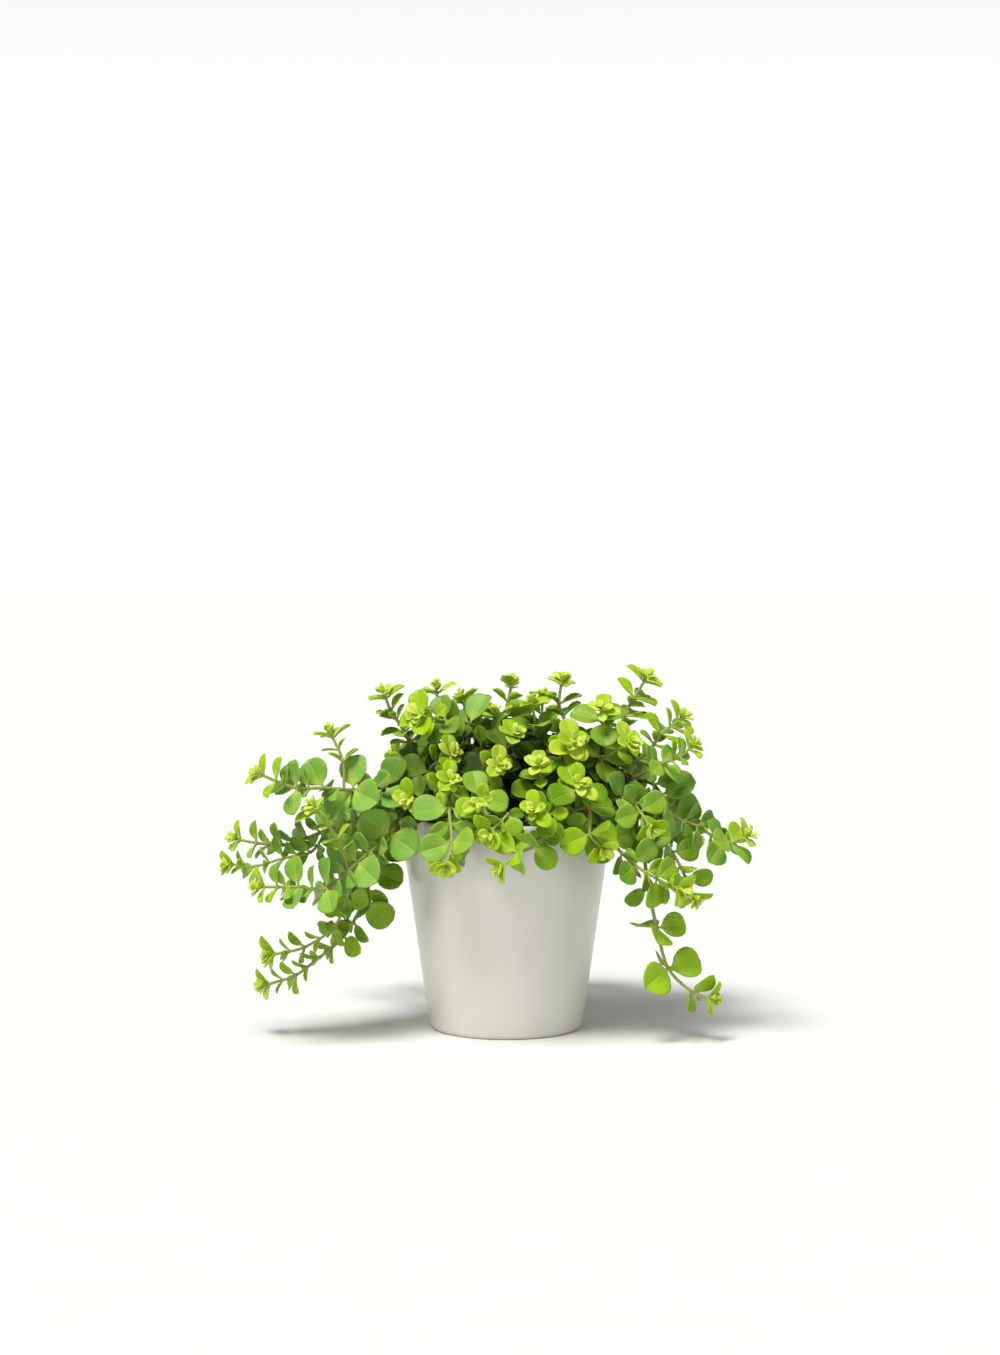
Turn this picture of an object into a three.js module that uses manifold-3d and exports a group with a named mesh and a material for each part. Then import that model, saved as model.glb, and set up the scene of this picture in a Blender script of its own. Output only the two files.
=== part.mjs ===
// A trailing jade peperomia in a plain round ceramic pot, in millimetres, +Z up.
// The origin is the middle of the pot's flat underside, and the plant's front faces -Y.
// Each leafy stem is one solid: whorls of thick round leaves that grow from the stem's own sides.
// Stems seen in the front view are placed by the pixel where they are seen and their depth in millimetres.
import * as THREE from "three";
import { mergeVertices } from "three/addons/utils/BufferGeometryUtils.js";
import Module from "manifold-3d";

// The pot.
const POT_HEIGHT = 120;
const RIM_RADIUS = 60;
const FOOT_RADIUS = 43;
const POT_WALL = 5.5;
const POT_FLOOR = 9;
const RIM_ROUND = 2.2;
const FOOT_CHAMFER = 2;
const POT_SIDES = 36;
const SOIL_SIDES = 18;

// The soil, slightly mounded, with a plain hole for each stem.
const SOIL_EDGE_HEIGHT = 111;
const SOIL_MOUND = 4;
const SOIL_SHOULDER = 6;
const SEAT_GAP = 0.3;
const HOLE_DEPTH = 12;
const HOLE_GAP = 0.3;
const HOLE_SIDES = 4;

// The stems.
const STEM_RADIUS = 1.35;
const STEM_TIP_RADIUS = 0.75;
const SHOOT_BY_STEM = 0.75;
const ROOT_RISES = [-HOLE_DEPTH + 2, 0.5, 6];
const COLLAR_HEIGHT = 1;
const LEAST_SLANT = 0.55;
const SIDE_RANGE = 38;
const MOST_ALIKE = 0.2;
const FORK_BEYOND = 0.3;
const LONG_SPAN = 19;
const SAMPLES_A_SPAN = 14;

// The leaves. Lengths are blade lengths, from where the stalk ends to the leaf's tip.
const LEAVES_IN_WHORL = 3;
const BLADE_THICKNESS = 0.7;
const STALK_LENGTH = 2.6;
const STALK_WIDTH = 1.5;
const ROUND_LEAF = 15;
const YOUNG_LEAF = 8;
const BLADE_CLEARANCE = 1.25;
const OUTLINE_MARGIN = 1.6;
const ROUND_RIM_LENGTH = 15;
const ROUND_RIM = [0.2, 0.55, 0.87];
const PLAIN_RIM = [0.26, 0.76];
const RIM_SWELL = 1.06;
const KEELED_LENGTH = 12.2;
const KEEL_SHARE = 0.45;

// From full-grown leaves to the youngest: degrees from the stem, width by length and droop of the tip.
const LEAN = [82, 56];
const WIDTH_BY_LENGTH = [1.03, 0.66];
const TIP_DROOP = [0.06, 0.16];
const LEAST_FOLD = 0.12;

// From full-grown leaves to the youngest: how far they turn from the light and face the light and the tip.
const FROM_LIGHT = [0.55, 0.15];
const FACING_LIGHT = [0.8, 0.35];
const FACING_TIP = [0.4, 0.9];

// Each leaf seeks the light on its stem's side of the plant, from between these heights, in degrees.
const LIGHT_LOWEST = 28;
const LIGHT_HIGHEST = 68;

// How much a whorl's leaves differ: in turn and lean, in degrees, and in size, fold and width, as shares.
const VARIED = { turn: 22, lean: 16, size: 0.16, fold: 0.2, width: 0.1 };

// How far from a whorl stems and leaves are looked at for crossings, and how near its own stem isn't.
const STEMS_WITHIN = 30;
const LEAVES_WITHIN = 26;
const OWN_STEM_WITHIN = 6;

// Where the photograph was taken from, and its focal length in pixels.
const EYE = new THREE.Vector3(-3.4, -1500, 291);
const EYE_TILT = THREE.MathUtils.degToRad(3.58);
const FOCAL_PIXELS = 2679;
const PHOTO_MIDDLE_ACROSS = 500;
const PHOTO_MIDDLE_DOWN = 677.5;

const UP = new THREE.Vector3(0, 0, 1);
const degrees = THREE.MathUtils.degToRad;
const mix = (a, b, share) => a + (b - a) * share;
const clamp01 = (x) => Math.min(1, Math.max(0, x));

// A point seen at a pixel of the photograph, at a depth of so many millimetres behind the pot's middle.
function seen(across, down, depth, leaf = 0, turn = 90) {
  const ray = new THREE.Vector3(0, Math.cos(EYE_TILT), -Math.sin(EYE_TILT));
  ray.x += (across - PHOTO_MIDDLE_ACROSS) / FOCAL_PIXELS;
  ray.addScaledVector(
    new THREE.Vector3(0, Math.sin(EYE_TILT), Math.cos(EYE_TILT)),
    (PHOTO_MIDDLE_DOWN - down) / FOCAL_PIXELS,
  );
  const place = EYE.clone().addScaledVector(ray, (depth - EYE.y) / ray.y);
  return { place, leaf, turn };
}

// A point that the front view doesn't show, by its azimuth, distance from the pot's axis and height.
function around(azimuth, radius, height, leaf = 0, turn = 90) {
  const place = new THREE.Vector3(
    radius * Math.cos(degrees(azimuth)),
    radius * Math.sin(degrees(azimuth)),
    height,
  );
  return { place, leaf, turn };
}

// A stem: its root's azimuth and radius, the azimuth that its leaves face, its points and its side shoots.
// Each point has its leaves' length and the angle, in the front view, that the first one points at.
const stem = (name, rootAzimuth, rootRadius, facing, points, shoots = []) => ({
  name,
  rootAzimuth,
  rootRadius,
  facing,
  points,
  shoots,
});

// A side shoot, from a numbered point of its stem.
const shoot = (from, points) => ({ from, points });

const FRONT_STEMS = [
  stem("stem_left_high", 195, 34, 250, [
    seen(402, 797, -22),
    seen(386, 788, -30, 18, 75),
    seen(353, 790, -44, 18, 105),
    seen(324, 788, -50, 15, 67),
    seen(297, 788, -54, 14, 43),
    seen(276, 781, -57, 11, 70),
    seen(264, 776, -59, 9.5),
  ], [
    shoot(2, [seen(343, 762, -42, 9, 0), seen(333, 738, -40, 9.5)]),
  ]),
  stem("stem_left_mid", 208, 45, 248, [
    seen(408, 807, -30),
    seen(390, 834, -42, 19, 85),
    seen(358, 862, -56, 18, 118),
    seen(327, 888, -62, 15, 63),
    seen(299, 887, -65, 14, 50),
    seen(278, 887, -67, 11, 70),
    seen(265, 887, -69, 9.5),
  ], [
    shoot(2, [seen(338, 840, -62, 9, 20), seen(318, 812, -62, 11, 170)]),
  ]),
  stem("stem_left_fork", 182, 44, 240, [
    seen(398, 800, -8),
    seen(366, 815, -18, 15, 68),
    seen(336, 826, -28, 13, 235),
    seen(307, 838, -36, 11, 60),
    seen(283, 845, -41, 11, 80),
    seen(257, 843, -44, 10, 100),
    seen(241, 840, -46, 9.5),
  ], [
    shoot(2, [
      seen(311, 852, -44, 11, 230),
      seen(284, 858, -50, 11, 60),
      seen(256, 866, -53, 10, 80),
      seen(235, 865, -55, 9.5),
    ]),
  ]),
  stem("stem_left_low", 168, 45, 245, [
    seen(396, 800, 10),
    seen(384, 838, 2, 15, 215),
    seen(373, 872, -10, 15, 320),
    seen(362, 905, -16, 16, 275),
    seen(344, 936, -21, 13, 230),
    seen(320, 957, -24, 10, 60),
    seen(296, 975, -27, 10, 100),
    seen(270, 984, -29, 9.5),
  ], [
    shoot(2, [
      seen(350, 893, -24, 13, 150),
      seen(335, 926, -32, 11, 60),
      seen(305, 947, -37, 10, 80),
      seen(276, 954, -40, 10),
    ]),
  ]),
  stem("stem_rise_left", 165, 26, 255, [
    seen(419, 758, -8, 13, 20),
    seen(404, 731, -12, 12, 190),
    seen(391, 711, -13, 10, 20),
    seen(386, 699, -13, 10),
  ]),
  stem("stem_top_left", 120, 14, 265, [
    seen(500, 744, 0, 15, 200),
    seen(470, 724, -8, 17, 85),
    seen(446, 721, -16, 14, 130),
    seen(424, 716, -24, 13),
  ]),
  stem("stem_rise_mid_left", 148, 26, 262, [
    seen(445, 745, 12, 14, 265),
    seen(440, 712, 14, 10, 160),
    seen(437, 694, 14, 9.5),
  ]),
  stem("stem_top_pale", 95, 10, 270, [
    seen(505, 744, 20, 15, 30),
    seen(497, 718, 24, 10),
  ]),
  stem("stem_dark_stalk", 250, 8, 268, [
    seen(543, 756, -14, 16, 20),
    seen(536, 726, -16, 14, 150),
    seen(533, 709, -17, 11),
  ]),
  stem("stem_star_mid", 70, 16, 272, [
    seen(562, 735, 6, 14, 53),
    seen(559, 704, 8, 11, 20),
    seen(561, 686, 8, 10.5),
  ]),
  stem("stem_rosette_right", 300, 14, 282, [
    seen(603, 746, -18, 15, 200),
    seen(602, 722, -25, 16, 155),
    seen(601, 713, -30, 10.5),
  ]),
  stem("stem_star_right", 28, 24, 290, [
    seen(616, 748, 6, 14, 146),
    seen(624, 716, 8, 13, 130),
    seen(634, 698, 8, 12, 170),
    seen(644, 682, 8, 10.5),
  ]),
  stem("stem_shoulder_tip", 8, 24, 300, [
    seen(638, 760, -6, 14, 67),
    seen(661, 734, -10, 13, 150),
    seen(678, 721, -11, 10.5),
  ]),
  stem("stem_shoulder_low", 350, 30, 300, [
    seen(634, 778, -16, 15, 114),
    seen(661, 764, -26, 12, 300),
    seen(680, 757, -31, 10, 60),
    seen(689, 749, -33, 9.5),
  ]),
  stem("stem_front_left_rosette", 225, 24, 262, [
    seen(436, 796, -40, 14, 200),
    seen(449, 783, -54, 11),
  ]),
  stem("stem_front_cup", 252, 30, 265, [
    seen(468, 808, -50, 14, 150),
    seen(479, 798, -60, 15, 100),
    seen(480, 801, -67, 9.5),
  ]),
  stem("stem_front_left_tip", 216, 38, 250, [
    seen(420, 801, -40, 12, 100),
    seen(411, 800, -48, 10),
  ]),
  stem("stem_front_mid", 278, 26, 270, [
    seen(541, 790, -46, 15, 185),
    seen(539, 770, -54, 10.5),
  ]),
  stem("stem_front_bright", 300, 28, 280, [
    seen(570, 803, -48, 13, 220),
    seen(577, 790, -60, 15, 90),
    seen(579, 786, -66, 10),
  ]),
  stem("stem_front_drape_mid", 283, 45, 272, [
    seen(556, 812, -58, 15, 320),
    seen(540, 818, -71, 13, 100),
    seen(536, 813, -78, 10.5),
  ]),
  stem("stem_front_drape_left", 240, 45, 262, [
    seen(450, 808, -60, 18, 185),
    seen(452, 843, -72, 16, 205),
    seen(447, 862, -77, 11),
  ]),
  stem("stem_front_wisp", 258, 46, 268, [
    seen(508, 814, -62, 13, 30),
    seen(493, 829, -70, 10.5),
  ]),
  stem("stem_front_drape_low", 270, 46, 270, [
    seen(550, 818, -63),
    seen(533, 846, -73, 14, 310),
    seen(518, 853, -76, 13, 170),
    seen(505, 864, -78, 9.5),
  ]),
  stem("stem_crown_right", 325, 14, 290, [
    seen(601, 760, -26, 15, 128),
    seen(626, 745, -38, 12),
  ]),
  stem("stem_right_front", 310, 46, 292, [
    seen(594, 814, -44),
    seen(610, 840, -54, 15, 177),
    seen(634, 864, -57, 15, 70),
    seen(656, 878, -59, 14, 290),
    seen(676, 888, -61, 11),
  ]),
  stem("stem_right_reach", 350, 45, 305, [
    seen(640, 782, -4, 15, 38),
    seen(662, 795, -16, 18, 80),
    seen(674, 816, -22, 15, 300),
    seen(697, 826, -27, 12, 275),
    seen(722, 842, -32, 15, 120),
    seen(730, 843, -35, 14, 275),
    seen(743, 838, -37, 9.5),
  ]),
  stem("stem_right_trail", 328, 46, 295, [
    seen(614, 806, -24),
    seen(640, 838, -38, 16, 140),
    seen(648, 888, -44, 12, 200),
    seen(657, 928, -46, 17, 100),
    seen(668, 968, -47, 17, 55),
    seen(692, 992, -48, 12, 75),
    seen(707, 998, -49, 10, 58),
  ]),
  stem("stem_right_cluster", 340, 46, 310, [
    seen(618, 802, -8),
    seen(650, 826, -18, 16, 320),
    seen(672, 852, -25, 14, 350),
    seen(686, 878, -30, 12, 40),
    seen(692, 893, -31, 10),
  ]),
  stem("stem_front_shoulder_left", 204, 30, 256, [
    seen(430, 773, -28, 16, 165),
    seen(448, 757, -38, 10.5),
  ]),
  stem("stem_inner_left", 262, 18, 266, [
    seen(490, 774, -40, 16, 136),
    seen(497, 768, -50, 10.5),
  ]),
  stem("stem_tan_stalk", 230, 18, 266, [
    seen(484, 772, -26),
    seen(507, 749, -32, 16, 350),
    seen(513, 738, -36, 10.5),
  ]),
  stem("stem_crown_left", 190, 12, 262, [
    seen(462, 762, -14, 15, 130),
    seen(481, 748, -22, 11),
  ]),
  stem("stem_crown_mid_right", 295, 21, 276, [
    seen(561, 757, -30, 16, 80),
    seen(572, 745, -43, 12),
  ]),
  stem("stem_front_right_drape", 296, 45, 284, [
    seen(586, 808, -53, 16, 215),
    seen(590, 834, -66, 15, 205),
    seen(600, 846, -70, 10.5),
  ]),
  stem("stem_right_shoulder", 322, 38, 300, [
    seen(622, 798, -34, 16, 117),
    seen(640, 812, -46, 14, 60),
    seen(648, 824, -51, 10),
  ]),
];

// Behind and on top, out of the front view, stems go round in three tiers like those in front.
const BACK_LOW = { from: 12, to: 152, stems: 7, root: 45 };
const BACK_MIDDLE = { from: 22, to: 141, stems: 5, root: 32 };
const BACK_HIGH = { from: 50, to: 130, stems: 3, root: 22 };

function tier(named, { from, to, stems, root }, pointsOf) {
  return Array.from({ length: stems }, (_, i) => {
    const azimuth = mix(from, to, i / (stems - 1));
    const spread = (share) => azimuth + 9 * Math.sin(2.4 * i + share);
    return stem(named + (i + 1), azimuth, root, azimuth, pointsOf(spread, i, azimuth));
  });
}

// How far a low stem at the back hangs: fully behind the pot, and hardly at its sides.
const hangBehind = (azimuth) => clamp01(1.6 - 2 * Math.abs(Math.cos(degrees(azimuth))));

// A low stem's azimuth and height at a share of its length, drawn in behind the pot as it hangs.
function hanging(azimuth, spread, share, high, low) {
  const hang = hangBehind(azimuth);
  return [mix(spread, 90, 0.5 * hang * share), mix(high, low, hang)];
}

const BACK_STEMS = [
  ...tier("stem_back_low_", BACK_LOW, (spread, i, azimuth) => {
    const lower = (share, radius, high, low, leaf, turn) => {
      const [turned, height] = hanging(azimuth, spread(1 + 0.6 * share), share, high, low);
      return around(turned, radius, height, leaf, turn);
    };
    return [
      around(spread(0), 66, 129, 17, 60 * i + 20),
      around(spread(0.5), 86, 116 - 3 * (i % 2), 17, 60 * i),
      lower(0.4, 100, 113, 95 - 8 * (i % 3), 17, 60 * i + 40),
      lower(0.8, 109, 108, 76 - 12 * (i % 3), 13, 60 * i + 90),
      lower(1, 115, 103, 62 - 14 * (i % 3), 10),
    ];
  }),
  ...tier("stem_back_mid_", BACK_MIDDLE, (spread, i) => [
    around(spread(0), 45, 138, 17, 50 * i),
    around(spread(0.6), 66, 146 - 4 * (i % 2), 17, 50 * i + 40),
    around(spread(1.2), 83, 143 - 6 * (i % 2), 13, 50 * i + 20),
    around(spread(1.6), 94, 145 - 8 * (i % 2), 10.5),
  ]),
  ...tier("stem_back_high_", BACK_HIGH, (spread, i) => [
    around(spread(0), 27, 146, 17, 70 * i - 8),
    around(spread(0.6), 35, 166 + 6 * (i % 2), 15, 70 * i + 60),
    around(spread(1.2), 40, 180 + 8 * (i % 2), 10.5),
  ]),
];

const STEMS = [...FRONT_STEMS, ...BACK_STEMS];

// Numbers from 0 to 1 that are the same each time for the same stem and point.
function drawsFor(stemNumber, pointNumber) {
  let state = stemNumber * 7919 + pointNumber * 104729 + 17;
  const draw = () => {
    state = (state * 1664525 + 1013904223) % 4294967296;
    return state / 4294967296;
  };
  draw();
  draw();
  return draw;
}

const soilHeight = (radius) =>
  SOIL_EDGE_HEIGHT +
  SOIL_MOUND * (1 - (radius / (RIM_RADIUS - POT_WALL)) ** 2);

const potRadius = (height) =>
  mix(FOOT_RADIUS, RIM_RADIUS, clamp01(height / POT_HEIGHT));

// A route through points, with where each point lies on it and the stem's radius along it.
function routeThrough(points, startRadius, endRadius) {
  const curve = new THREE.CatmullRomCurve3(points, false, "catmullrom", 0.5);
  const last = points.length - 1;
  const at = (position) => curve.getPoint(position / last);
  const along = (position) =>
    at(Math.min(last, position + 0.02))
      .sub(at(Math.max(0, position - 0.02)))
      .normalize();
  const radius = (position) => mix(startRadius, endRadius, position / last);
  return { last, at, along, radius };
}

function rootOf({ rootAzimuth, rootRadius }) {
  const top = soilHeight(rootRadius);
  return ROOT_RISES.map(
    (rise) => around(rootAzimuth, rootRadius, top + rise).place,
  );
}

// The main route of a stem and those of its shoots, each with its leafy points.
function axesOf(made) {
  const root = rootOf(made);
  const places = [...root, ...made.points.map((p) => p.place)];
  const main = routeThrough(places, STEM_RADIUS, STEM_TIP_RADIUS);
  main.straightAt = 1;
  const axes = [{ route: main, points: made.points, first: root.length, whorls: [] }];
  for (const side of made.shoots) {
    const position = root.length + side.from + FORK_BEYOND;
    const route = routeThrough(
      [main.at(position), ...side.points.map((p) => p.place)],
      main.radius(position) * SHOOT_BY_STEM,
      STEM_TIP_RADIUS,
    );
    axes.push({ route, points: side.points, first: 1, whorls: [] });
  }
  return axes;
}

// A leaf's form: its own axes, its size, how far its sides fold up and its tip hangs down.
class Leaf {
  constructor(root, along, face, length, width, fold, droop) {
    this.root = root;
    this.along = along;
    this.face = face;
    this.across = new THREE.Vector3().crossVectors(face, along);
    this.length = length;
    this.width = width;
    this.fold = fold;
    this.droop = droop;
    this.stalk = STALK_LENGTH * clamp01(0.4 + length / 20);
    this.reach = this.stalk + length + 1;
  }

  // Half the blade's width at a share of its length, widest just past the middle.
  halfWidth(share) {
    const s = clamp01(share) ** 1.12;
    return Math.max(STALK_WIDTH / 2, this.width * Math.sqrt(s * (1 - s)));
  }

  // How far the blade's middle surface stands above its own plane.
  height(x, y) {
    const share = (x - this.stalk) / this.length;
    return this.fold * Math.abs(y) - this.droop * this.length * share * share;
  }

  point(share, side, lift = 0) {
    const x = this.stalk + share * this.length;
    const y = side * this.halfWidth(share);
    return this.place(x, y, this.height(x, y) + lift);
  }

  place(x, y, z) {
    return this.root
      .clone()
      .addScaledVector(this.along, x)
      .addScaledVector(this.across, y)
      .addScaledVector(this.face, z);
  }

  // How far above the blade a point lies, or null where it is beside the blade.
  above(point) {
    const offset = point.clone().sub(this.root);
    const x = offset.dot(this.along);
    const y = offset.dot(this.across);
    const margin = OUTLINE_MARGIN;
    if (x < -margin || x > this.stalk + this.length + margin) return null;
    const share = (x - this.stalk) / this.length;
    if (Math.abs(y) > this.halfWidth(share) + margin) return null;
    return offset.dot(this.face) - this.height(x, y);
  }

  samples() {
    if (!this.sampled) {
      this.sampled = [];
      for (const share of [0.02, 0.2, 0.4, 0.6, 0.8, 0.93])
        for (const side of [-1, -0.5, 0, 0.5, 1])
          this.sampled.push(this.point(share, side));
      this.sampled.push(this.point(1, 0));
    }
    return this.sampled;
  }
}

// Whether points lie too near a blade, or on both sides of it.
function cross(points, leaf, distance) {
  let least = Infinity;
  let most = -Infinity;
  for (const point of points) {
    const gap = leaf.above(point);
    if (gap === null) continue;
    if (Math.abs(gap) < distance) return true;
    least = Math.min(least, gap);
    most = Math.max(most, gap);
  }
  return least < 0 && most > 0;
}

// Whether a leaf would touch the pot or the soil.
function touchesPot(leaf) {
  const margin = BLADE_CLEARANCE;
  return leaf.samples().some((p) => {
    const radius = Math.hypot(p.x, p.y);
    if (p.z < margin) return true;
    if (p.z > POT_HEIGHT + margin) return false;
    if (radius > potRadius(p.z) + margin) return false;
    const inside = radius < RIM_RADIUS - POT_WALL - margin;
    return !inside || p.z < soilHeight(radius) + margin;
  });
}

// Where a whorl's first leaf points, square to the stem, from the angle that the front view shows.
function firstOf({ along, turn }) {
  const first = new THREE.Vector3(
    Math.cos(degrees(turn)),
    0,
    Math.sin(degrees(turn)),
  );
  first.addScaledVector(along, -first.dot(along));
  if (first.length() < 0.15) {
    first.set(0, -1, 0);
    first.addScaledVector(along, -first.dot(along));
  }
  first.normalize();
  return { first, second: new THREE.Vector3().crossVectors(along, first) };
}

// Whether a leaf leaves its stem on its own side, not too much along it and away from the whorl's others.
function onOwnSide(leaf, whorl, number) {
  const close = (other) => other.fits && other.along.dot(leaf.along) > MOST_ALIKE;
  if (whorl.grown.some(close)) return false;
  const { first, second } = firstOf(whorl);
  const x = leaf.along.dot(first);
  const y = leaf.along.dot(second);
  if (Math.hypot(x, y) < LEAST_SLANT) return false;
  const away = Math.atan2(y, x) - (2 * Math.PI * number) / LEAVES_IN_WHORL;
  return Math.cos(away) > Math.cos(degrees(SIDE_RANGE));
}

// One leaf of a whorl, turned and tilted by so many degrees from where it would grow.
function leafAt(whorl, number, change) {
  const { place, along, facing, leaf, draws } = whorl;
  const young = clamp01((ROUND_LEAF - leaf) / (ROUND_LEAF - YOUNG_LEAF));
  const { first, second } = firstOf(whorl);
  const [turned, tilted, sized, folded, narrowed] = draws[number];
  const aged = ([grown, youngest]) => mix(grown, youngest, young);
  const varied = (amount, drawn) => amount * (drawn - 0.5);
  const round = degrees(
    (360 / LEAVES_IN_WHORL) * number + varied(VARIED.turn, turned) + change.turn,
  );
  const tilt = degrees(aged(LEAN) + varied(VARIED.lean, tilted) + change.tilt);
  const rise = degrees(mix(LIGHT_LOWEST, LIGHT_HIGHEST, (narrowed * 3) % 1));
  const light = new THREE.Vector3(
    Math.cos(rise) * Math.cos(degrees(facing)),
    Math.cos(rise) * Math.sin(degrees(facing)),
    Math.sin(rise),
  );
  const axis = first
    .multiplyScalar(Math.cos(round))
    .addScaledVector(second, Math.sin(round));
  const grown = axis
    .multiplyScalar(Math.sin(tilt))
    .addScaledVector(along, Math.cos(tilt));
  grown.addScaledVector(light, -aged(FROM_LIGHT) * grown.dot(light));
  grown.normalize();
  const face = light
    .multiplyScalar(aged(FACING_LIGHT))
    .addScaledVector(along, aged(FACING_TIP));
  face.addScaledVector(grown, -face.dot(grown)).normalize();
  const length = leaf * change.size * (1 - VARIED.size / 2 + VARIED.size * sized);
  const width = length * (aged(WIDTH_BY_LENGTH) + varied(VARIED.width, narrowed));
  const fold = LEAST_FOLD + VARIED.fold * folded;
  return new Leaf(place, grown, face, length, width, fold, aged(TIP_DROOP));
}

// A leaf that would cross something is turned, tilted or made smaller, in this order.
const CHANGES = [
  [0, 0, 1],
  [16, 0, 1],
  [-16, 0, 1],
  [0, -18, 1],
  [0, 18, 1],
  [24, -14, 0.92],
  [-24, -14, 0.92],
  [32, 12, 0.86],
  [-32, 12, 0.86],
  [12, -30, 0.8],
  [-12, -30, 0.8],
  [0, 34, 0.78],
  [42, 0, 0.7],
  [-42, 0, 0.7],
  [8, 6, 0.62],
  [-20, -12, 0.62],
  [20, 14, 0.62],
].map(([turn, tilt, size]) => ({ turn, tilt, size }));

// Grows the leaves of every stem, outermost whorls first, none crossing a stem, the pot or another leaf.
function grow(stems) {
  const plants = stems.map(axesOf);
  const whorls = [];
  const stalks = [];
  plants.forEach((axes, s) => {
    axes.forEach(({ route, points, first, whorls: own }, a) => {
      for (let i = 0; i <= route.last * SAMPLES_A_SPAN; i++) {
        const position = i / SAMPLES_A_SPAN;
        stalks.push({ at: route.at(position), radius: route.radius(position), s });
      }
      points.forEach(({ leaf, turn }, i) => {
        if (!leaf) return;
        const position = first + i;
        const draw = drawsFor(s, a * 20 + i);
        const whorl = {
          s,
          position,
          place: route.at(position),
          along: route.along(position),
          facing: stems[s].facing,
          leaf,
          turn,
          fromTip: points.length - 1 - i,
          draws: Array.from({ length: LEAVES_IN_WHORL }, () =>
            Array.from({ length: 5 }, draw),
          ),
          grown: [],
        };
        own.push(whorl);
        whorls.push(whorl);
      });
    });
  });
  const outwards = Math.max(...whorls.map((w) => w.fromTip));
  const leaves = [];
  for (let rank = 0; rank <= outwards; rank++)
    for (const whorl of whorls.filter((w) => w.fromTip === rank)) {
      const near = stalks.filter((k) => {
        const distance = k.at.distanceTo(whorl.place);
        const own = k.s === whorl.s && distance < OWN_STEM_WITHIN;
        return distance < STEMS_WITHIN && !own;
      });
      const others = leaves.filter(
        (l) => l.root.distanceTo(whorl.place) < l.reach + LEAVES_WITHIN,
      );
      for (let number = 0; number < LEAVES_IN_WHORL; number++) {
        const fitting = CHANGES.map((c) => leafAt(whorl, number, c)).find(
          (leaf) =>
            onOwnSide(leaf, whorl, number) &&
            !touchesPot(leaf) &&
            !near.some((k) => cross([k.at], leaf, k.radius + BLADE_CLEARANCE)) &&
            !others.some((other) => clash(leaf, other)),
        );
        const leaf = fitting ?? leafAt(whorl, number, CHANGES[0]);
        leaf.fits = Boolean(fitting);
        whorl.grown.push(leaf);
        if (fitting) {
          leaves.push(leaf);
          others.push(leaf);
        }
      }
    }
  return plants;
}

function clash(a, b) {
  if (a.root.distanceTo(b.root) > a.reach + b.reach) return false;
  return (
    cross(a.samples(), b, BLADE_CLEARANCE) ||
    cross(b.samples(), a, BLADE_CLEARANCE)
  );
}

function geometryOf(points, faces) {
  return new THREE.BufferGeometry().setFromPoints(points).setIndex(faces);
}

// A ring of corners round a route, at angles measured from a normal that is carried along the route.
function ringAround(centre, frame, radius, corners) {
  return corners.map((corner) =>
    centre
      .clone()
      .addScaledVector(frame.normal, radius * Math.cos(corner))
      .addScaledVector(frame.across, radius * Math.sin(corner)),
  );
}

function carried(normal, along) {
  const kept = normal.clone().addScaledVector(along, -normal.dot(along));
  kept.normalize();
  return { normal: kept, across: new THREE.Vector3().crossVectors(along, kept) };
}

// A stem's corners at a whorl stand midway between its leaves, so that each leaf has a side of its own.
function cornersBetween(angles) {
  const sorted = [...angles].sort((a, b) => a - b);
  return sorted.map((angle, i) => {
    const next = sorted[(i + 1) % sorted.length];
    return (angle + next + (next <= angle ? 2 * Math.PI : 0)) / 2;
  });
}

// The same corners, numbered so that they twist least from the ring before.
function leastTwisted(corners, before) {
  const count = corners.length;
  const whole = 2 * Math.PI;
  let best = corners;
  let least = Infinity;
  for (let first = 0; first < count; first++) {
    const moved = corners.map((_, i) => {
      const wraps = Math.floor((first + i) / count);
      return corners[(first + i) % count] + wraps * whole;
    });
    const mean = moved.reduce((sum, c, i) => sum + c - before[i], 0) / count;
    const back = whole * Math.round(mean / whole);
    const twist = Math.abs(mean - back);
    if (twist < least) {
      least = twist;
      best = moved.map((c) => c - back);
    }
  }
  return best;
}

// A leaf's rim from its left root round its tip to its right root, as shares of its length and sides.
function rimOf(leaf) {
  const shares = leaf.length > ROUND_RIM_LENGTH ? ROUND_RIM : PLAIN_RIM;
  return [
    ...shares.map((share) => [share, -1]),
    [1, 0],
    ...[...shares].reverse().map((share) => [share, 1]),
  ];
}

// Adds a four-cornered face as two triangles, split along its shorter diagonal.
function addWall(points, faces, a, b, c, d) {
  if (points[a].distanceTo(points[c]) < points[b].distanceTo(points[d]))
    faces.push(a, b, c, a, c, d);
  else faces.push(a, b, d, b, c, d);
}

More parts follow.
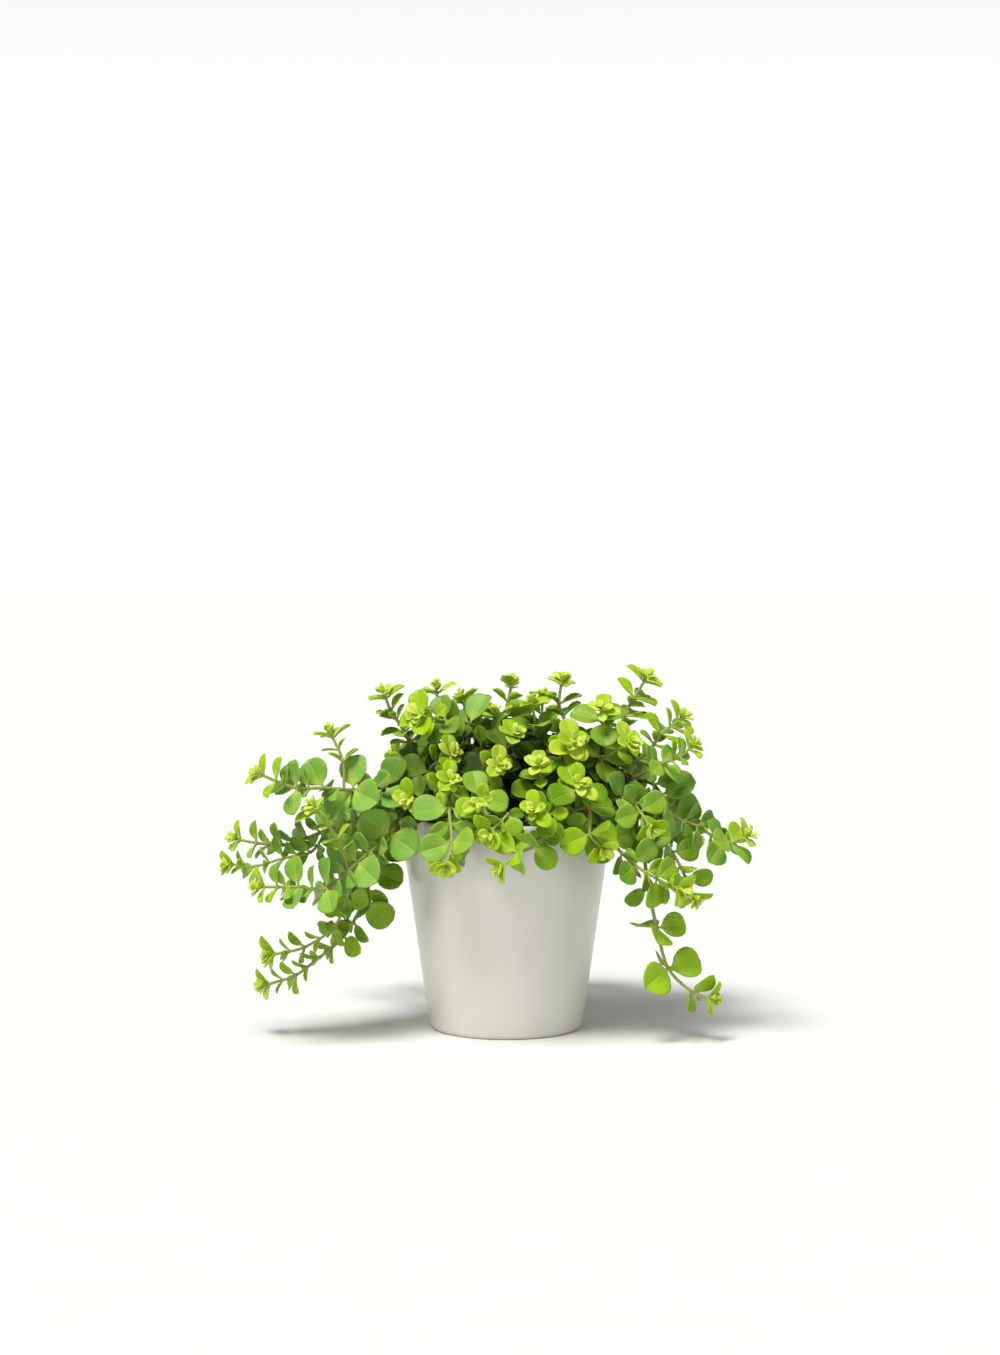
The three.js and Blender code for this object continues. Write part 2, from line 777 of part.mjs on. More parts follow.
// Adds a leaf to a solid's faces in place of the side of the stem that it grows from.
// The side's corners go round from its lower left, seen from outside the stem.
function addLeaf(points, faces, leaf, side) {
  const half = BLADE_THICKNESS / 2;
  const rim = rimOf(leaf);
  const [share] = rim[0];
  const section = [
    leaf.point(share, -1, -half),
    leaf.point(share, 1, -half),
    leaf.point(share, 1, half),
    leaf.point(share, -1, half),
  ];
  const fit = (shift) =>
    section.reduce((sum, corner, i) => {
      const root = points[side[(i + shift) % 4]];
      return sum + root.clone().sub(leaf.root).dot(corner.clone().sub(section[(i + 2) % 4]));
    }, 0);
  const shift = [0, 1, 2, 3].reduce((a, b) => (fit(b) > fit(a) + 1e-9 ? b : a));
  const [lowLeft, lowRight, topRight, topLeft] = [0, 1, 2, 3].map(
    (i) => side[(i + shift) % 4],
  );
  const add = (point) => points.push(point) - 1;
  const top = [
    topLeft,
    ...rim.map(([s, y]) => add(leaf.point(s, y * RIM_SWELL, half))),
    topRight,
  ];
  const low = [
    lowLeft,
    ...rim.map(([s, y]) => add(leaf.point(s, y * RIM_SWELL, -half))),
    lowRight,
  ];
  const last = top.length - 1;
  for (let i = 0; i < last; i++)
    addWall(points, faces, low[i], low[i + 1], top[i + 1], top[i]);
  if (leaf.length > KEELED_LENGTH) {
    const topMiddle = add(leaf.point(KEEL_SHARE, 0, half));
    const lowMiddle = add(leaf.point(KEEL_SHARE, 0, -half));
    for (let i = 0; i <= last; i++) {
      const next = (i + 1) % (last + 1);
      faces.push(topMiddle, top[i], top[next]);
      faces.push(lowMiddle, low[next], low[i]);
    }
    return;
  }
  for (let i = 0, j = last; j - i > 1; i++, j--) {
    faces.push(top[i], top[i + 1], top[j]);
    faces.push(low[i], low[j], low[i + 1]);
    if (j - i < 3) continue;
    faces.push(top[i + 1], top[j - 1], top[j]);
    faces.push(low[i + 1], low[j], low[j - 1]);
  }
}

// A stem or shoot with the leaves that grow from its sides, as one closed surface.
function leafyGeometry({ route, whorls }) {
  const points = [];
  const faces = [];
  const add = (ring) => ring.map((point) => points.push(point) - 1);
  const wall = (...corners) => addWall(points, faces, ...corners);
  let frame = carried(new THREE.Vector3(0.8, 0.6, 0), route.along(0));
  let corners = [0, 1, 2].map((i) => (2 * Math.PI * i) / 3);
  let below = null;
  const join = (ring) => {
    if (below)
      ring.forEach((up, i) => {
        const next = (i + 1) % ring.length;
        wall(below[i], below[next], ring[next], up);
      });
    else faces.push(ring[0], ring[2], ring[1]);
    below = ring;
  };
  for (const { position, whorl } of stopsOn(route, whorls)) {
    const along = route.along(position);
    const centre = route.at(position);
    const radius = route.radius(position);
    frame = carried(frame.normal, along);
    if (!whorl) {
      join(add(ringAround(centre, frame, radius, corners)));
      continue;
    }
    const angle = (leaf) =>
      Math.atan2(leaf.along.dot(frame.across), leaf.along.dot(frame.normal));
    corners = leastTwisted(cornersBetween(whorl.grown.map(angle)), corners);
    const collar = along.clone().multiplyScalar(COLLAR_HEIGHT / 2);
    const low = add(ringAround(centre.clone().sub(collar), frame, radius, corners));
    const top = add(ringAround(centre.clone().add(collar), frame, radius, corners));
    join(low);
    const whole = 2 * Math.PI;
    corners.forEach((corner, i) => {
      const next = (i + 1) % corners.length;
      const end = corners[next] + (next ? 0 : whole);
      const side = [low[i], low[next], top[next], top[i]];
      const grows = whorl.grown.find((leaf) => {
        const turn = angle(leaf) - corner;
        return leaf.fits && turn - whole * Math.floor(turn / whole) < end - corner;
      });
      if (grows) addLeaf(points, faces, grows, side);
      else wall(...side);
    });
    below = top;
  }
  faces.push(below[0], below[1], below[2]);
  return geometryOf(points, faces);
}

// Where a route has a ring: at each of its points, and between two that lie far apart.
function stopsOn(route, whorls) {
  const stops = [];
  for (let i = 0; i <= route.last; i++) {
    if (i === route.straightAt) continue;
    stops.push({ position: i, whorl: whorls.find((w) => w.position === i) });
    const far = i < route.last && route.at(i).distanceTo(route.at(i + 1)) > LONG_SPAN;
    if (far) stops.push({ position: i + 0.5 });
  }
  return stops;
}

const wasm = await Module();
wasm.setup();

function solidOf(geometry) {
  const bare = geometry.clone();
  for (const name of Object.keys(bare.attributes))
    if (name !== "position") bare.deleteAttribute(name);
  const merged = mergeVertices(bare, 1e-4);
  return new wasm.Manifold(
    new wasm.Mesh({
      numProp: 3,
      vertProperties: merged.attributes.position.array,
      triVerts: new Uint32Array(merged.index.array),
    }),
  );
}

function meshOf(name, solid, material) {
  const { numProp, vertProperties, triVerts } = solid.getMesh();
  const count = vertProperties.length / numProp;
  const position = new Float32Array(count * 3);
  for (let i = 0; i < count; i++)
    position.set(vertProperties.subarray(i * numProp, i * numProp + 3), i * 3);
  const geometry = new THREE.BufferGeometry()
    .setAttribute("position", new THREE.BufferAttribute(position, 3))
    .setIndex(new THREE.BufferAttribute(triVerts, 1));
  geometry.computeVertexNormals();
  const mesh = new THREE.Mesh(geometry, material);
  mesh.name = name;
  return mesh;
}

const GLAZE = new THREE.MeshStandardMaterial({
  color: 0xf2f1ec,
  roughness: 0.35,
  metalness: 0,
});
const SOIL = new THREE.MeshStandardMaterial({
  color: 0x2b1d15,
  roughness: 0.95,
  metalness: 0,
});
const FOLIAGE = new THREE.MeshStandardMaterial({
  color: 0x6ea23c,
  roughness: 0.5,
  metalness: 0,
  flatShading: true,
});

// The lathe turns about Y, so its result is stood up along Z.
function turned(profile, sides) {
  const points = profile.map(([radius, height]) => new THREE.Vector2(radius, height));
  return new THREE.LatheGeometry(points, sides).rotateX(Math.PI / 2);
}

function potSolid() {
  const innerFoot = FOOT_RADIUS - POT_WALL;
  const innerRim = RIM_RADIUS - POT_WALL;
  const profile = [
    [0, 0],
    [FOOT_RADIUS - FOOT_CHAMFER, 0],
    [FOOT_RADIUS, FOOT_CHAMFER],
    [RIM_RADIUS, POT_HEIGHT - RIM_ROUND],
    [RIM_RADIUS - 0.3 * RIM_ROUND, POT_HEIGHT - 0.3 * RIM_ROUND],
    [RIM_RADIUS - RIM_ROUND, POT_HEIGHT],
    [innerRim + RIM_ROUND, POT_HEIGHT],
    [innerRim, POT_HEIGHT - RIM_ROUND],
    [innerRim, SOIL_EDGE_HEIGHT - SOIL_SHOULDER],
    [innerFoot, POT_FLOOR],
    [0, POT_FLOOR],
  ];
  return solidOf(turned(profile, POT_SIDES));
}

function soilSolid(stems) {
  const innerFoot = FOOT_RADIUS - POT_WALL - SEAT_GAP;
  const innerRim = RIM_RADIUS - POT_WALL - SEAT_GAP;
  const bottom = POT_FLOOR + SEAT_GAP;
  const profile = [
    [0, bottom],
    [innerFoot, bottom],
    [innerRim, SOIL_EDGE_HEIGHT - SOIL_SHOULDER],
    [innerRim, soilHeight(innerRim)],
    [0, soilHeight(0)],
  ];
  const radius = (STEM_RADIUS + HOLE_GAP) / Math.cos(Math.PI / HOLE_SIDES);
  const holes = stems.map((made) => {
    const [foot, , above] = rootOf(made);
    const hole = new THREE.CylinderGeometry(radius, radius, above.z - foot.z + SEAT_GAP, HOLE_SIDES);
    hole.rotateX(Math.PI / 2);
    hole.translate(foot.x, foot.y, (above.z + foot.z - SEAT_GAP) / 2);
    return solidOf(hole);
  });
  return solidOf(turned(profile, SOIL_SIDES)).subtract(wasm.Manifold.union(holes));
}

function stemSolid(axes) {
  return wasm.Manifold.union(axes.map((axis) => solidOf(leafyGeometry(axis))));
}

const plant = new THREE.Group();
plant.add(meshOf("pot", potSolid(), GLAZE));
plant.add(meshOf("soil", soilSolid(STEMS), SOIL));
const grown = grow(STEMS);
STEMS.forEach(({ name }, s) => {
  plant.add(meshOf(name, stemSolid(grown[s]), FOLIAGE));
});

export default plant;
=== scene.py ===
import math

import bpy
import numpy as np
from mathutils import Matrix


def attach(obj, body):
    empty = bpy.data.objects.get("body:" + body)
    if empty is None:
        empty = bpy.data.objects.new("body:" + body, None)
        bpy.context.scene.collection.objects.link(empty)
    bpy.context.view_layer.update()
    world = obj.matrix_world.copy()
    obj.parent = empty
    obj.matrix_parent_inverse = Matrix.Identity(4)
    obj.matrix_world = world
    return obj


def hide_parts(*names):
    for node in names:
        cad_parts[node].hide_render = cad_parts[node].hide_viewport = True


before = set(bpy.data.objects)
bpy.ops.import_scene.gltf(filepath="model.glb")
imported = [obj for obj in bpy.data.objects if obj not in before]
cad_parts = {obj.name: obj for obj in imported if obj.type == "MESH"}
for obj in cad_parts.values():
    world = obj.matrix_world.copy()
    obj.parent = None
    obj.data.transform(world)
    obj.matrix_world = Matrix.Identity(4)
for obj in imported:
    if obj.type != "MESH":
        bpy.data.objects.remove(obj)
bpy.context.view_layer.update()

MM = 0.001

# The pot, in millimetres.
POT_HEIGHT = 120
RIM_RADIUS = 60
FOOT_RADIUS = 43
POT_WALL = 5.5
POT_FLOOR = 9
POT_SIDES = 96
RIM_ROUND = 2.4
FOOT_ROUND = 2

# The soil, slightly mounded, which reaches this near to the pot.
SOIL_EDGE_HEIGHT = 111
SOIL_MOUND = 4
SOIL_SHOULDER = 6
SEAT_GAP = 0.3
SOIL_SIDES = 64
SOIL_RINGS = 26

# The stems.
STEM_RADIUS = 1.35
STEM_TIP_RADIUS = 0.75
ROOT_RISES = (-10, 0.5, 6)
LEAST_SLANT = 0.55
SIDE_RANGE = 38
MOST_ALIKE = 0.2
FORK_BEYOND = 0.3
SHOOT_SHARE = 0.75
SAMPLES_A_SPAN = 14
STEM_REACH = 30
OWN_STEM_REACH = 6
NEIGHBOUR_REACH = 26

# The leaves. Lengths are blade lengths, from where the stalk ends to the leaf's tip.
LEAVES_IN_WHORL = 3
STALK_LENGTH = 2.6
STALK_WIDTH = 1.5
ROUND_LEAF = 15
YOUNG_LEAF = 8
BLADE_CLEARANCE = 1.25
OUTLINE_MARGIN = 1.6

# From full-grown leaves to the youngest: degrees from the stem, width by length and droop of the tip.
LEAN = (82, 56)
WIDTH_BY_LENGTH = (1.03, 0.66)
TIP_DROOP = (0.06, 0.16)
LEAST_FOLD = 0.12

# From full-grown leaves to the youngest: how far they turn from the light and face the light and the tip.
FROM_LIGHT = (0.55, 0.15)
FACING_LIGHT = (0.8, 0.35)
FACING_TIP = (0.4, 0.9)

# Each leaf seeks the light on its stem's side of the plant, from between these heights, in degrees.
LIGHT_LOWEST = 28
LIGHT_HIGHEST = 68

# How much a whorl's leaves differ: in turn and lean, in degrees, and in size, fold and width, as shares.
VARIED = {"turn": 22, "lean": 16, "size": 0.16, "fold": 0.2, "width": 0.1}

# Where the photograph was taken from, and its focal length in pixels.
EYE = np.array([-3.4, -1500.0, 291.0])
EYE_TILT = math.radians(3.58)
FOCAL_PIXELS = 2679
PHOTO_SIZE = (1000, 1355)

# The plant's plan: where its stems go and how long the leaves at each of their points are.


def mix(a, b, share):
    return a + (b - a) * share


def clamp01(x):
    return min(1.0, max(0.0, x))


# A point seen at a pixel of the photograph, so many millimetres behind the pot's middle.
def seen(across, down, depth, leaf=0, turn=90):
    rise = (PHOTO_SIZE[1] / 2 - down) / FOCAL_PIXELS
    ray = np.array([
        (across - PHOTO_SIZE[0] / 2) / FOCAL_PIXELS,
        math.cos(EYE_TILT) + rise * math.sin(EYE_TILT),
        rise * math.cos(EYE_TILT) - math.sin(EYE_TILT),
    ])
    return EYE + ray * (depth - EYE[1]) / ray[1], leaf, turn


# A point that the photograph doesn't show, by its azimuth, distance from the pot's axis and height.
def around(azimuth, radius, height, leaf=0, turn=90):
    angle = math.radians(azimuth)
    return np.array([radius * math.cos(angle), radius * math.sin(angle), height]), leaf, turn


def shoot(start, points):
    return start, [seen(*point) for point in points]


def stem(name, root_azimuth, root_radius, facing, points, shoots=()):
    return {
        "name": name,
        "root": (root_azimuth, root_radius),
        "facing": facing,
        "points": [seen(*point) for point in points],
        "shoots": shoots,
    }


# A stem has its root's azimuth and radius, the azimuth that its leaves face, its points and its shoots.
# A point has the pixel where it is seen, its depth and, where leaves grow, their length and turn.
FRONT_STEMS = [
    stem("stem_left_high", 195, 34, 250, [
        (402, 797, -22), (386, 788, -30, 18, 75), (353, 790, -44, 18, 105), (324, 788, -50, 15, 67),
        (297, 788, -54, 14, 43), (276, 781, -57, 11, 70), (264, 776, -59, 9.5),
    ], [
        shoot(2, [(343, 762, -42, 9, 0), (333, 738, -40, 9.5)]),
    ]),
    stem("stem_left_mid", 208, 45, 248, [
        (408, 807, -30), (390, 834, -42, 19, 85), (358, 862, -56, 18, 118), (327, 888, -62, 15, 63),
        (299, 887, -65, 14, 50), (278, 887, -67, 11, 70), (265, 887, -69, 9.5),
    ], [
        shoot(2, [(338, 840, -62, 9, 20), (318, 812, -62, 11, 170)]),
    ]),
    stem("stem_left_fork", 182, 44, 240, [
        (398, 800, -8), (366, 815, -18, 15, 68), (336, 826, -28, 13, 235), (307, 838, -36, 11, 60),
        (283, 845, -41, 11, 80), (257, 843, -44, 10, 100), (241, 840, -46, 9.5),
    ], [
        shoot(2, [
            (311, 852, -44, 11, 230), (284, 858, -50, 11, 60), (256, 866, -53, 10, 80), (235, 865, -55, 9.5),
        ]),
    ]),
    stem("stem_left_low", 168, 45, 245, [
        (396, 800, 10), (384, 838, 2, 15, 215), (373, 872, -10, 15, 320), (362, 905, -16, 16, 275),
        (344, 936, -21, 13, 230), (320, 957, -24, 10, 60), (296, 975, -27, 10, 100),
        (270, 984, -29, 9.5),
    ], [
        shoot(2, [
            (350, 893, -24, 13, 150), (335, 926, -32, 11, 60), (305, 947, -37, 10, 80), (276, 954, -40, 10),
        ]),
    ]),
    stem("stem_rise_left", 165, 26, 255, [
        (419, 758, -8, 13, 20), (404, 731, -12, 12, 190), (391, 711, -13, 10, 20), (386, 699, -13, 10),
    ]),
    stem("stem_top_left", 120, 14, 265, [
        (500, 744, 0, 15, 200), (470, 724, -8, 17, 85), (446, 721, -16, 14, 130), (424, 716, -24, 13),
    ]),
    stem("stem_rise_mid_left", 148, 26, 262, [
        (445, 745, 12, 14, 265), (440, 712, 14, 10, 160), (437, 694, 14, 9.5),
    ]),
    stem("stem_top_pale", 95, 10, 270, [
        (505, 744, 20, 15, 30), (497, 718, 24, 10),
    ]),
    stem("stem_dark_stalk", 250, 8, 268, [
        (543, 756, -14, 16, 20), (536, 726, -16, 14, 150), (533, 709, -17, 11),
    ]),
    stem("stem_star_mid", 70, 16, 272, [
        (562, 735, 6, 14, 53), (559, 704, 8, 11, 20), (561, 686, 8, 10.5),
    ]),
    stem("stem_rosette_right", 300, 14, 282, [
        (603, 746, -18, 15, 200), (602, 722, -25, 16, 155), (601, 713, -30, 10.5),
    ]),
    stem("stem_star_right", 28, 24, 290, [
        (616, 748, 6, 14, 146), (624, 716, 8, 13, 130), (634, 698, 8, 12, 170), (644, 682, 8, 10.5),
    ]),
    stem("stem_shoulder_tip", 8, 24, 300, [
        (638, 760, -6, 14, 67), (661, 734, -10, 13, 150), (678, 721, -11, 10.5),
    ]),
    stem("stem_shoulder_low", 350, 30, 300, [
        (634, 778, -16, 15, 114), (661, 764, -26, 12, 300), (680, 757, -31, 10, 60),
        (689, 749, -33, 9.5),
    ]),
    stem("stem_front_left_rosette", 225, 24, 262, [
        (436, 796, -40, 14, 200), (449, 783, -54, 11),
    ]),
    stem("stem_front_cup", 252, 30, 265, [
        (468, 808, -50, 14, 150), (479, 798, -60, 15, 100), (480, 801, -67, 9.5),
    ]),
    stem("stem_front_left_tip", 216, 38, 250, [
        (420, 801, -40, 12, 100), (411, 800, -48, 10),
    ]),
    stem("stem_front_mid", 278, 26, 270, [
        (541, 790, -46, 15, 185), (539, 770, -54, 10.5),
    ]),
    stem("stem_front_bright", 300, 28, 280, [
        (570, 803, -48, 13, 220), (577, 790, -60, 15, 90), (579, 786, -66, 10),
    ]),
    stem("stem_front_drape_mid", 283, 45, 272, [
        (556, 812, -58, 15, 320), (540, 818, -71, 13, 100), (536, 813, -78, 10.5),
    ]),
    stem("stem_front_drape_left", 240, 45, 262, [
        (450, 808, -60, 18, 185), (452, 843, -72, 16, 205), (447, 862, -77, 11),
    ]),
    stem("stem_front_wisp", 258, 46, 268, [
        (508, 814, -62, 13, 30), (493, 829, -70, 10.5),
    ]),
    stem("stem_front_drape_low", 270, 46, 270, [
        (550, 818, -63), (533, 846, -73, 14, 310), (518, 853, -76, 13, 170), (505, 864, -78, 9.5),
    ]),
    stem("stem_crown_right", 325, 14, 290, [
        (601, 760, -26, 15, 128), (626, 745, -38, 12),
    ]),
    stem("stem_right_front", 310, 46, 292, [
        (594, 814, -44), (610, 840, -54, 15, 177), (634, 864, -57, 15, 70), (656, 878, -59, 14, 290),
        (676, 888, -61, 11),
    ]),
    stem("stem_right_reach", 350, 45, 305, [
        (640, 782, -4, 15, 38), (662, 795, -16, 18, 80), (674, 816, -22, 15, 300),
        (697, 826, -27, 12, 275), (722, 842, -32, 15, 120), (730, 843, -35, 14, 275),
        (743, 838, -37, 9.5),
    ]),
    stem("stem_right_trail", 328, 46, 295, [
        (614, 806, -24), (640, 838, -38, 16, 140), (648, 888, -44, 12, 200), (657, 928, -46, 17, 100),
        (668, 968, -47, 17, 55), (692, 992, -48, 12, 75), (707, 998, -49, 10, 58),
    ]),
    stem("stem_right_cluster", 340, 46, 310, [
        (618, 802, -8), (650, 826, -18, 16, 320), (672, 852, -25, 14, 350), (686, 878, -30, 12, 40),
        (692, 893, -31, 10),
    ]),
    stem("stem_front_shoulder_left", 204, 30, 256, [
        (430, 773, -28, 16, 165), (448, 757, -38, 10.5),
    ]),
    stem("stem_inner_left", 262, 18, 266, [
        (490, 774, -40, 16, 136), (497, 768, -50, 10.5),
    ]),
    stem("stem_tan_stalk", 230, 18, 266, [
        (484, 772, -26), (507, 749, -32, 16, 350), (513, 738, -36, 10.5),
    ]),
    stem("stem_crown_left", 190, 12, 262, [
        (462, 762, -14, 15, 130), (481, 748, -22, 11),
    ]),
    stem("stem_crown_mid_right", 295, 21, 276, [
        (561, 757, -30, 16, 80), (572, 745, -43, 12),
    ]),
    stem("stem_front_right_drape", 296, 45, 284, [
        (586, 808, -53, 16, 215), (590, 834, -66, 15, 205), (600, 846, -70, 10.5),
    ]),
    stem("stem_right_shoulder", 322, 38, 300, [
        (622, 798, -34, 16, 117), (640, 812, -46, 14, 60), (648, 824, -51, 10),
    ]),
]


# Behind and on top, where the photograph doesn't show the plant, stems go round in three tiers.
def tier(named, start, end, stems, root, points_of):
    made = []
    for i in range(stems):
        azimuth = start + (end - start) * i / (stems - 1)

        def spread(share, azimuth=azimuth, i=i):
            return azimuth + 9 * math.sin(2.4 * i + share)

        made.append({
            "name": named + str(i + 1),
            "root": (azimuth, root),
            "facing": azimuth,
            "points": [around(*point) for point in points_of(spread, i, azimuth)],
            "shoots": (),
        })
    return made


# A low stem at the back hangs fully behind the pot, drawn in as it hangs, and hardly at the pot's sides.
def back_low(spread, i, azimuth):
    hang = clamp01(1.6 - 2 * abs(math.cos(math.radians(azimuth))))

    def lower(share, radius, high, low, *leaves):
        return mix(spread(1 + 0.6 * share), 90, 0.5 * hang * share), radius, mix(high, low, hang), *leaves

    return [
        (spread(0), 66, 129, 17, 60 * i + 20),
        (spread(0.5), 86, 116 - 3 * (i % 2), 17, 60 * i),
        lower(0.4, 100, 113, 95 - 8 * (i % 3), 17, 60 * i + 40),
        lower(0.8, 109, 108, 76 - 12 * (i % 3), 13, 60 * i + 90),
        lower(1, 115, 103, 62 - 14 * (i % 3), 10),
    ]


def back_middle(spread, i, _):
    return [
        (spread(0), 45, 138, 17, 50 * i),
        (spread(0.6), 66, 146 - 4 * (i % 2), 17, 50 * i + 40),
        (spread(1.2), 83, 143 - 6 * (i % 2), 13, 50 * i + 20),
        (spread(1.6), 94, 145 - 8 * (i % 2), 10.5),
    ]


def back_high(spread, i, _):
    return [
        (spread(0), 27, 146, 17, 70 * i - 8),
        (spread(0.6), 35, 166 + 6 * (i % 2), 15, 70 * i + 60),
        (spread(1.2), 40, 180 + 8 * (i % 2), 10.5),
    ]


STEMS = [
    *FRONT_STEMS,
    *tier("stem_back_low_", 12, 152, 7, 45, back_low),
    *tier("stem_back_mid_", 22, 141, 5, 32, back_middle),
    *tier("stem_back_high_", 50, 130, 3, 22, back_high),
]

# Growing the plant.


def unit(vector):
    return vector / np.linalg.norm(vector)


# Numbers from 0 to 1 that are the same each time for the same stem and point.
def draws_for(stem_number, point_number):
    state = stem_number * 7919 + point_number * 104729 + 17
    drawn = []
    for _ in range(2 + 5 * LEAVES_IN_WHORL):
        state = (state * 1664525 + 1013904223) % 4294967296
        drawn.append(state / 4294967296)
    return [drawn[2 + 5 * number:7 + 5 * number] for number in range(LEAVES_IN_WHORL)]


def soil_height(radius):
    return SOIL_EDGE_HEIGHT + SOIL_MOUND * (1 - (radius / (RIM_RADIUS - POT_WALL)) ** 2)


def pot_radius(height):
    return FOOT_RADIUS + (RIM_RADIUS - FOOT_RADIUS) * np.clip(height / POT_HEIGHT, 0, 1)


# A smooth route through points, with the stem's radius along it.
class Route:
    def __init__(self, points, start_radius, end_radius):
        inner = np.array(points, float)
        before = 2 * inner[0] - inner[1]
        beyond = 2 * inner[-1] - inner[-2]
        self.knots = np.vstack([before, inner, beyond])
        self.last = len(inner) - 1
        self.radii = (start_radius, end_radius)

    def at(self, position):
        span = min(int(position), self.last - 1)
        t = position - span
        a, b, c, d = self.knots[span:span + 4]
        leaving = (c - a) / 2
        arriving = (d - b) / 2
        square = 3 * (c - b) - 2 * leaving - arriving
        cube = 2 * (b - c) + leaving + arriving
        return b + t * (leaving + t * (square + t * cube))

    def along(self, position):
        ahead = self.at(min(self.last, position + 0.02))
        return unit(ahead - self.at(max(0, position - 0.02)))

    def radius(self, position):
        return mix(*self.radii, position / self.last)


# The main route of a stem and those of its shoots, each with its leafy points and where the first one lies.
def axes_of(made):
    azimuth, radius = made["root"]
    top = soil_height(radius)
    root = [around(azimuth, radius, top + rise)[0] for rise in ROOT_RISES]
    main = Route(root + [place for place, _, _ in made["points"]], STEM_RADIUS, STEM_TIP_RADIUS)
    axes = [{"route": main, "points": made["points"], "first": len(root), "from": 0}]
    for start, points in made["shoots"]:
        position = len(root) + start + FORK_BEYOND
        places = [main.at(position)] + [place for place, _, _ in points]
        route = Route(places, main.radius(position) * SHOOT_SHARE, STEM_TIP_RADIUS)
        axes.append({"route": route, "points": points, "first": 1, "from": position / main.last})
    return axes


# A leaf's own axes and size, how far its sides fold up and its tip hangs down.
class Leaf:
    def __init__(self, root, along, face, length, width, fold, droop):
        self.root = root
        self.axes = np.array([along, np.cross(face, along), face])
        self.length = length
        self.width = width
        self.fold = fold
        self.droop = droop
        self.stalk = STALK_LENGTH * clamp01(0.4 + length / 20)
        self.reach = self.stalk + length + 1
        self.samples = self.spread()

    def spread(self):
        share = np.repeat([0.02, 0.2, 0.4, 0.6, 0.8, 0.93], 5)
        side = np.tile([-1, -0.5, 0, 0.5, 1], 6)
        share = np.append(share, 1)
        side = np.append(side, 0)
        x = self.stalk + share * self.length
        y = side * half_width(share, self.width)
        z = self.fold * np.abs(y) - self.droop * self.length * share**2
        return self.root + np.stack([x, y, z], -1) @ self.axes


# Half a blade's width at a share of its length, widest just past the middle.
def half_width(share, width):
    s = np.clip(share, 0, 1) ** 1.12
    return np.maximum(STALK_WIDTH / 2, width * np.sqrt(s * (1 - s)))


# Leaves side by side, so that a new one is tried against all of them at once.
def stack(leaves):
    return {
        "root": np.array([leaf.root for leaf in leaves]),
        "axes": np.array([leaf.axes for leaf in leaves]),
        "samples": np.array([leaf.samples for leaf in leaves]),
        "sizes": np.array([
            [leaf.stalk, leaf.length, leaf.width, leaf.fold, leaf.droop, leaf.reach] for leaf in leaves
        ]),
    }


# How far points lie above blades, or nan where they are beside them: one row of points for each blade.
def heights_over(points, group):
    stalk, length, width, fold, droop, _ = (column[:, None] for column in group["sizes"].T)
    local = np.einsum("npk,njk->npj", points - group["root"][:, None, :], group["axes"])
    x, y, z = local[..., 0], local[..., 1], local[..., 2]
    share = (x - stalk) / length
    beside = (x < -OUTLINE_MARGIN) | (x > stalk + length + OUTLINE_MARGIN)
    beside |= np.abs(y) > half_width(share, width) + OUTLINE_MARGIN
    height = z - (fold * np.abs(y) - droop * length * share**2)
    return np.where(beside, np.nan, height)


# Whether, for each blade, points lie too near it or on both sides of it.
def crossing(heights, distance):
    near = np.any(np.abs(heights) < distance, axis=1)
    above = np.any(heights > 0, axis=1)
    below = np.any(heights < 0, axis=1)
    return near | (above & below)


def clashes(leaf, leaves, clearance=BLADE_CLEARANCE):
    if not leaves:
        return False
    group = stack(leaves)
    reach = group["sizes"][:, 5] + leaf.reach
    close = np.linalg.norm(group["root"] - leaf.root, axis=1) <= reach
    if not close.any():
        return False
    group = {key: value[close] for key, value in group.items()}
    own = stack([leaf])
    count = len(group["root"])
    over_others = heights_over(np.broadcast_to(leaf.samples, (count, *leaf.samples.shape)), group)
    if crossing(over_others, clearance).any():
        return True
    flat = group["samples"].reshape(1, -1, 3)
    over_own = heights_over(flat, own).reshape(count, -1)
    return bool(crossing(over_own, clearance).any())


def touches_pot(leaf, margin=BLADE_CLEARANCE):
    x, y, z = leaf.samples.T
    radius = np.hypot(x, y)
    beside = (z > POT_HEIGHT + margin) | (radius > pot_radius(z) + margin)
    inside = radius < RIM_RADIUS - POT_WALL - margin
    under = ~inside | (z < soil_height(radius) + margin)
    return bool(np.any((z < margin) | (~beside & under)))


# Where a whorl's first leaf points, square to the stem, from the angle that the front view shows.
def first_of(along, turn):
    angle = math.radians(turn)
    first = np.array([math.cos(angle), 0.0, math.sin(angle)])
    first -= (first @ along) * along
    if np.linalg.norm(first) < 0.15:
        first = np.array([0.0, -1.0, 0.0])
        first -= (first @ along) * along
    first = unit(first)
    return first, np.cross(along, first)


# Whether a leaf leaves its stem on its own side, not too far along it, and away from the whorl's others.
def on_own_side(leaf, whorl, number):
    if any(other.fits and other.axes[0] @ leaf.axes[0] > MOST_ALIKE for other in whorl["grown"]):
        return False
    first, second = first_of(whorl["along"], whorl["turn"])
    x, y = leaf.axes[0] @ first, leaf.axes[0] @ second
    if math.hypot(x, y) < LEAST_SLANT:
        return False
    away = math.atan2(y, x) - 2 * math.pi * number / LEAVES_IN_WHORL
    return math.cos(away) > math.cos(math.radians(SIDE_RANGE))


# How young a leaf of some length is, from 0 when it is round and full grown to 1.
def youngness(length):
    return clamp01((ROUND_LEAF - length) / (ROUND_LEAF - YOUNG_LEAF))


def varied(kind, draw):
    return VARIED[kind] * (draw - 0.5)


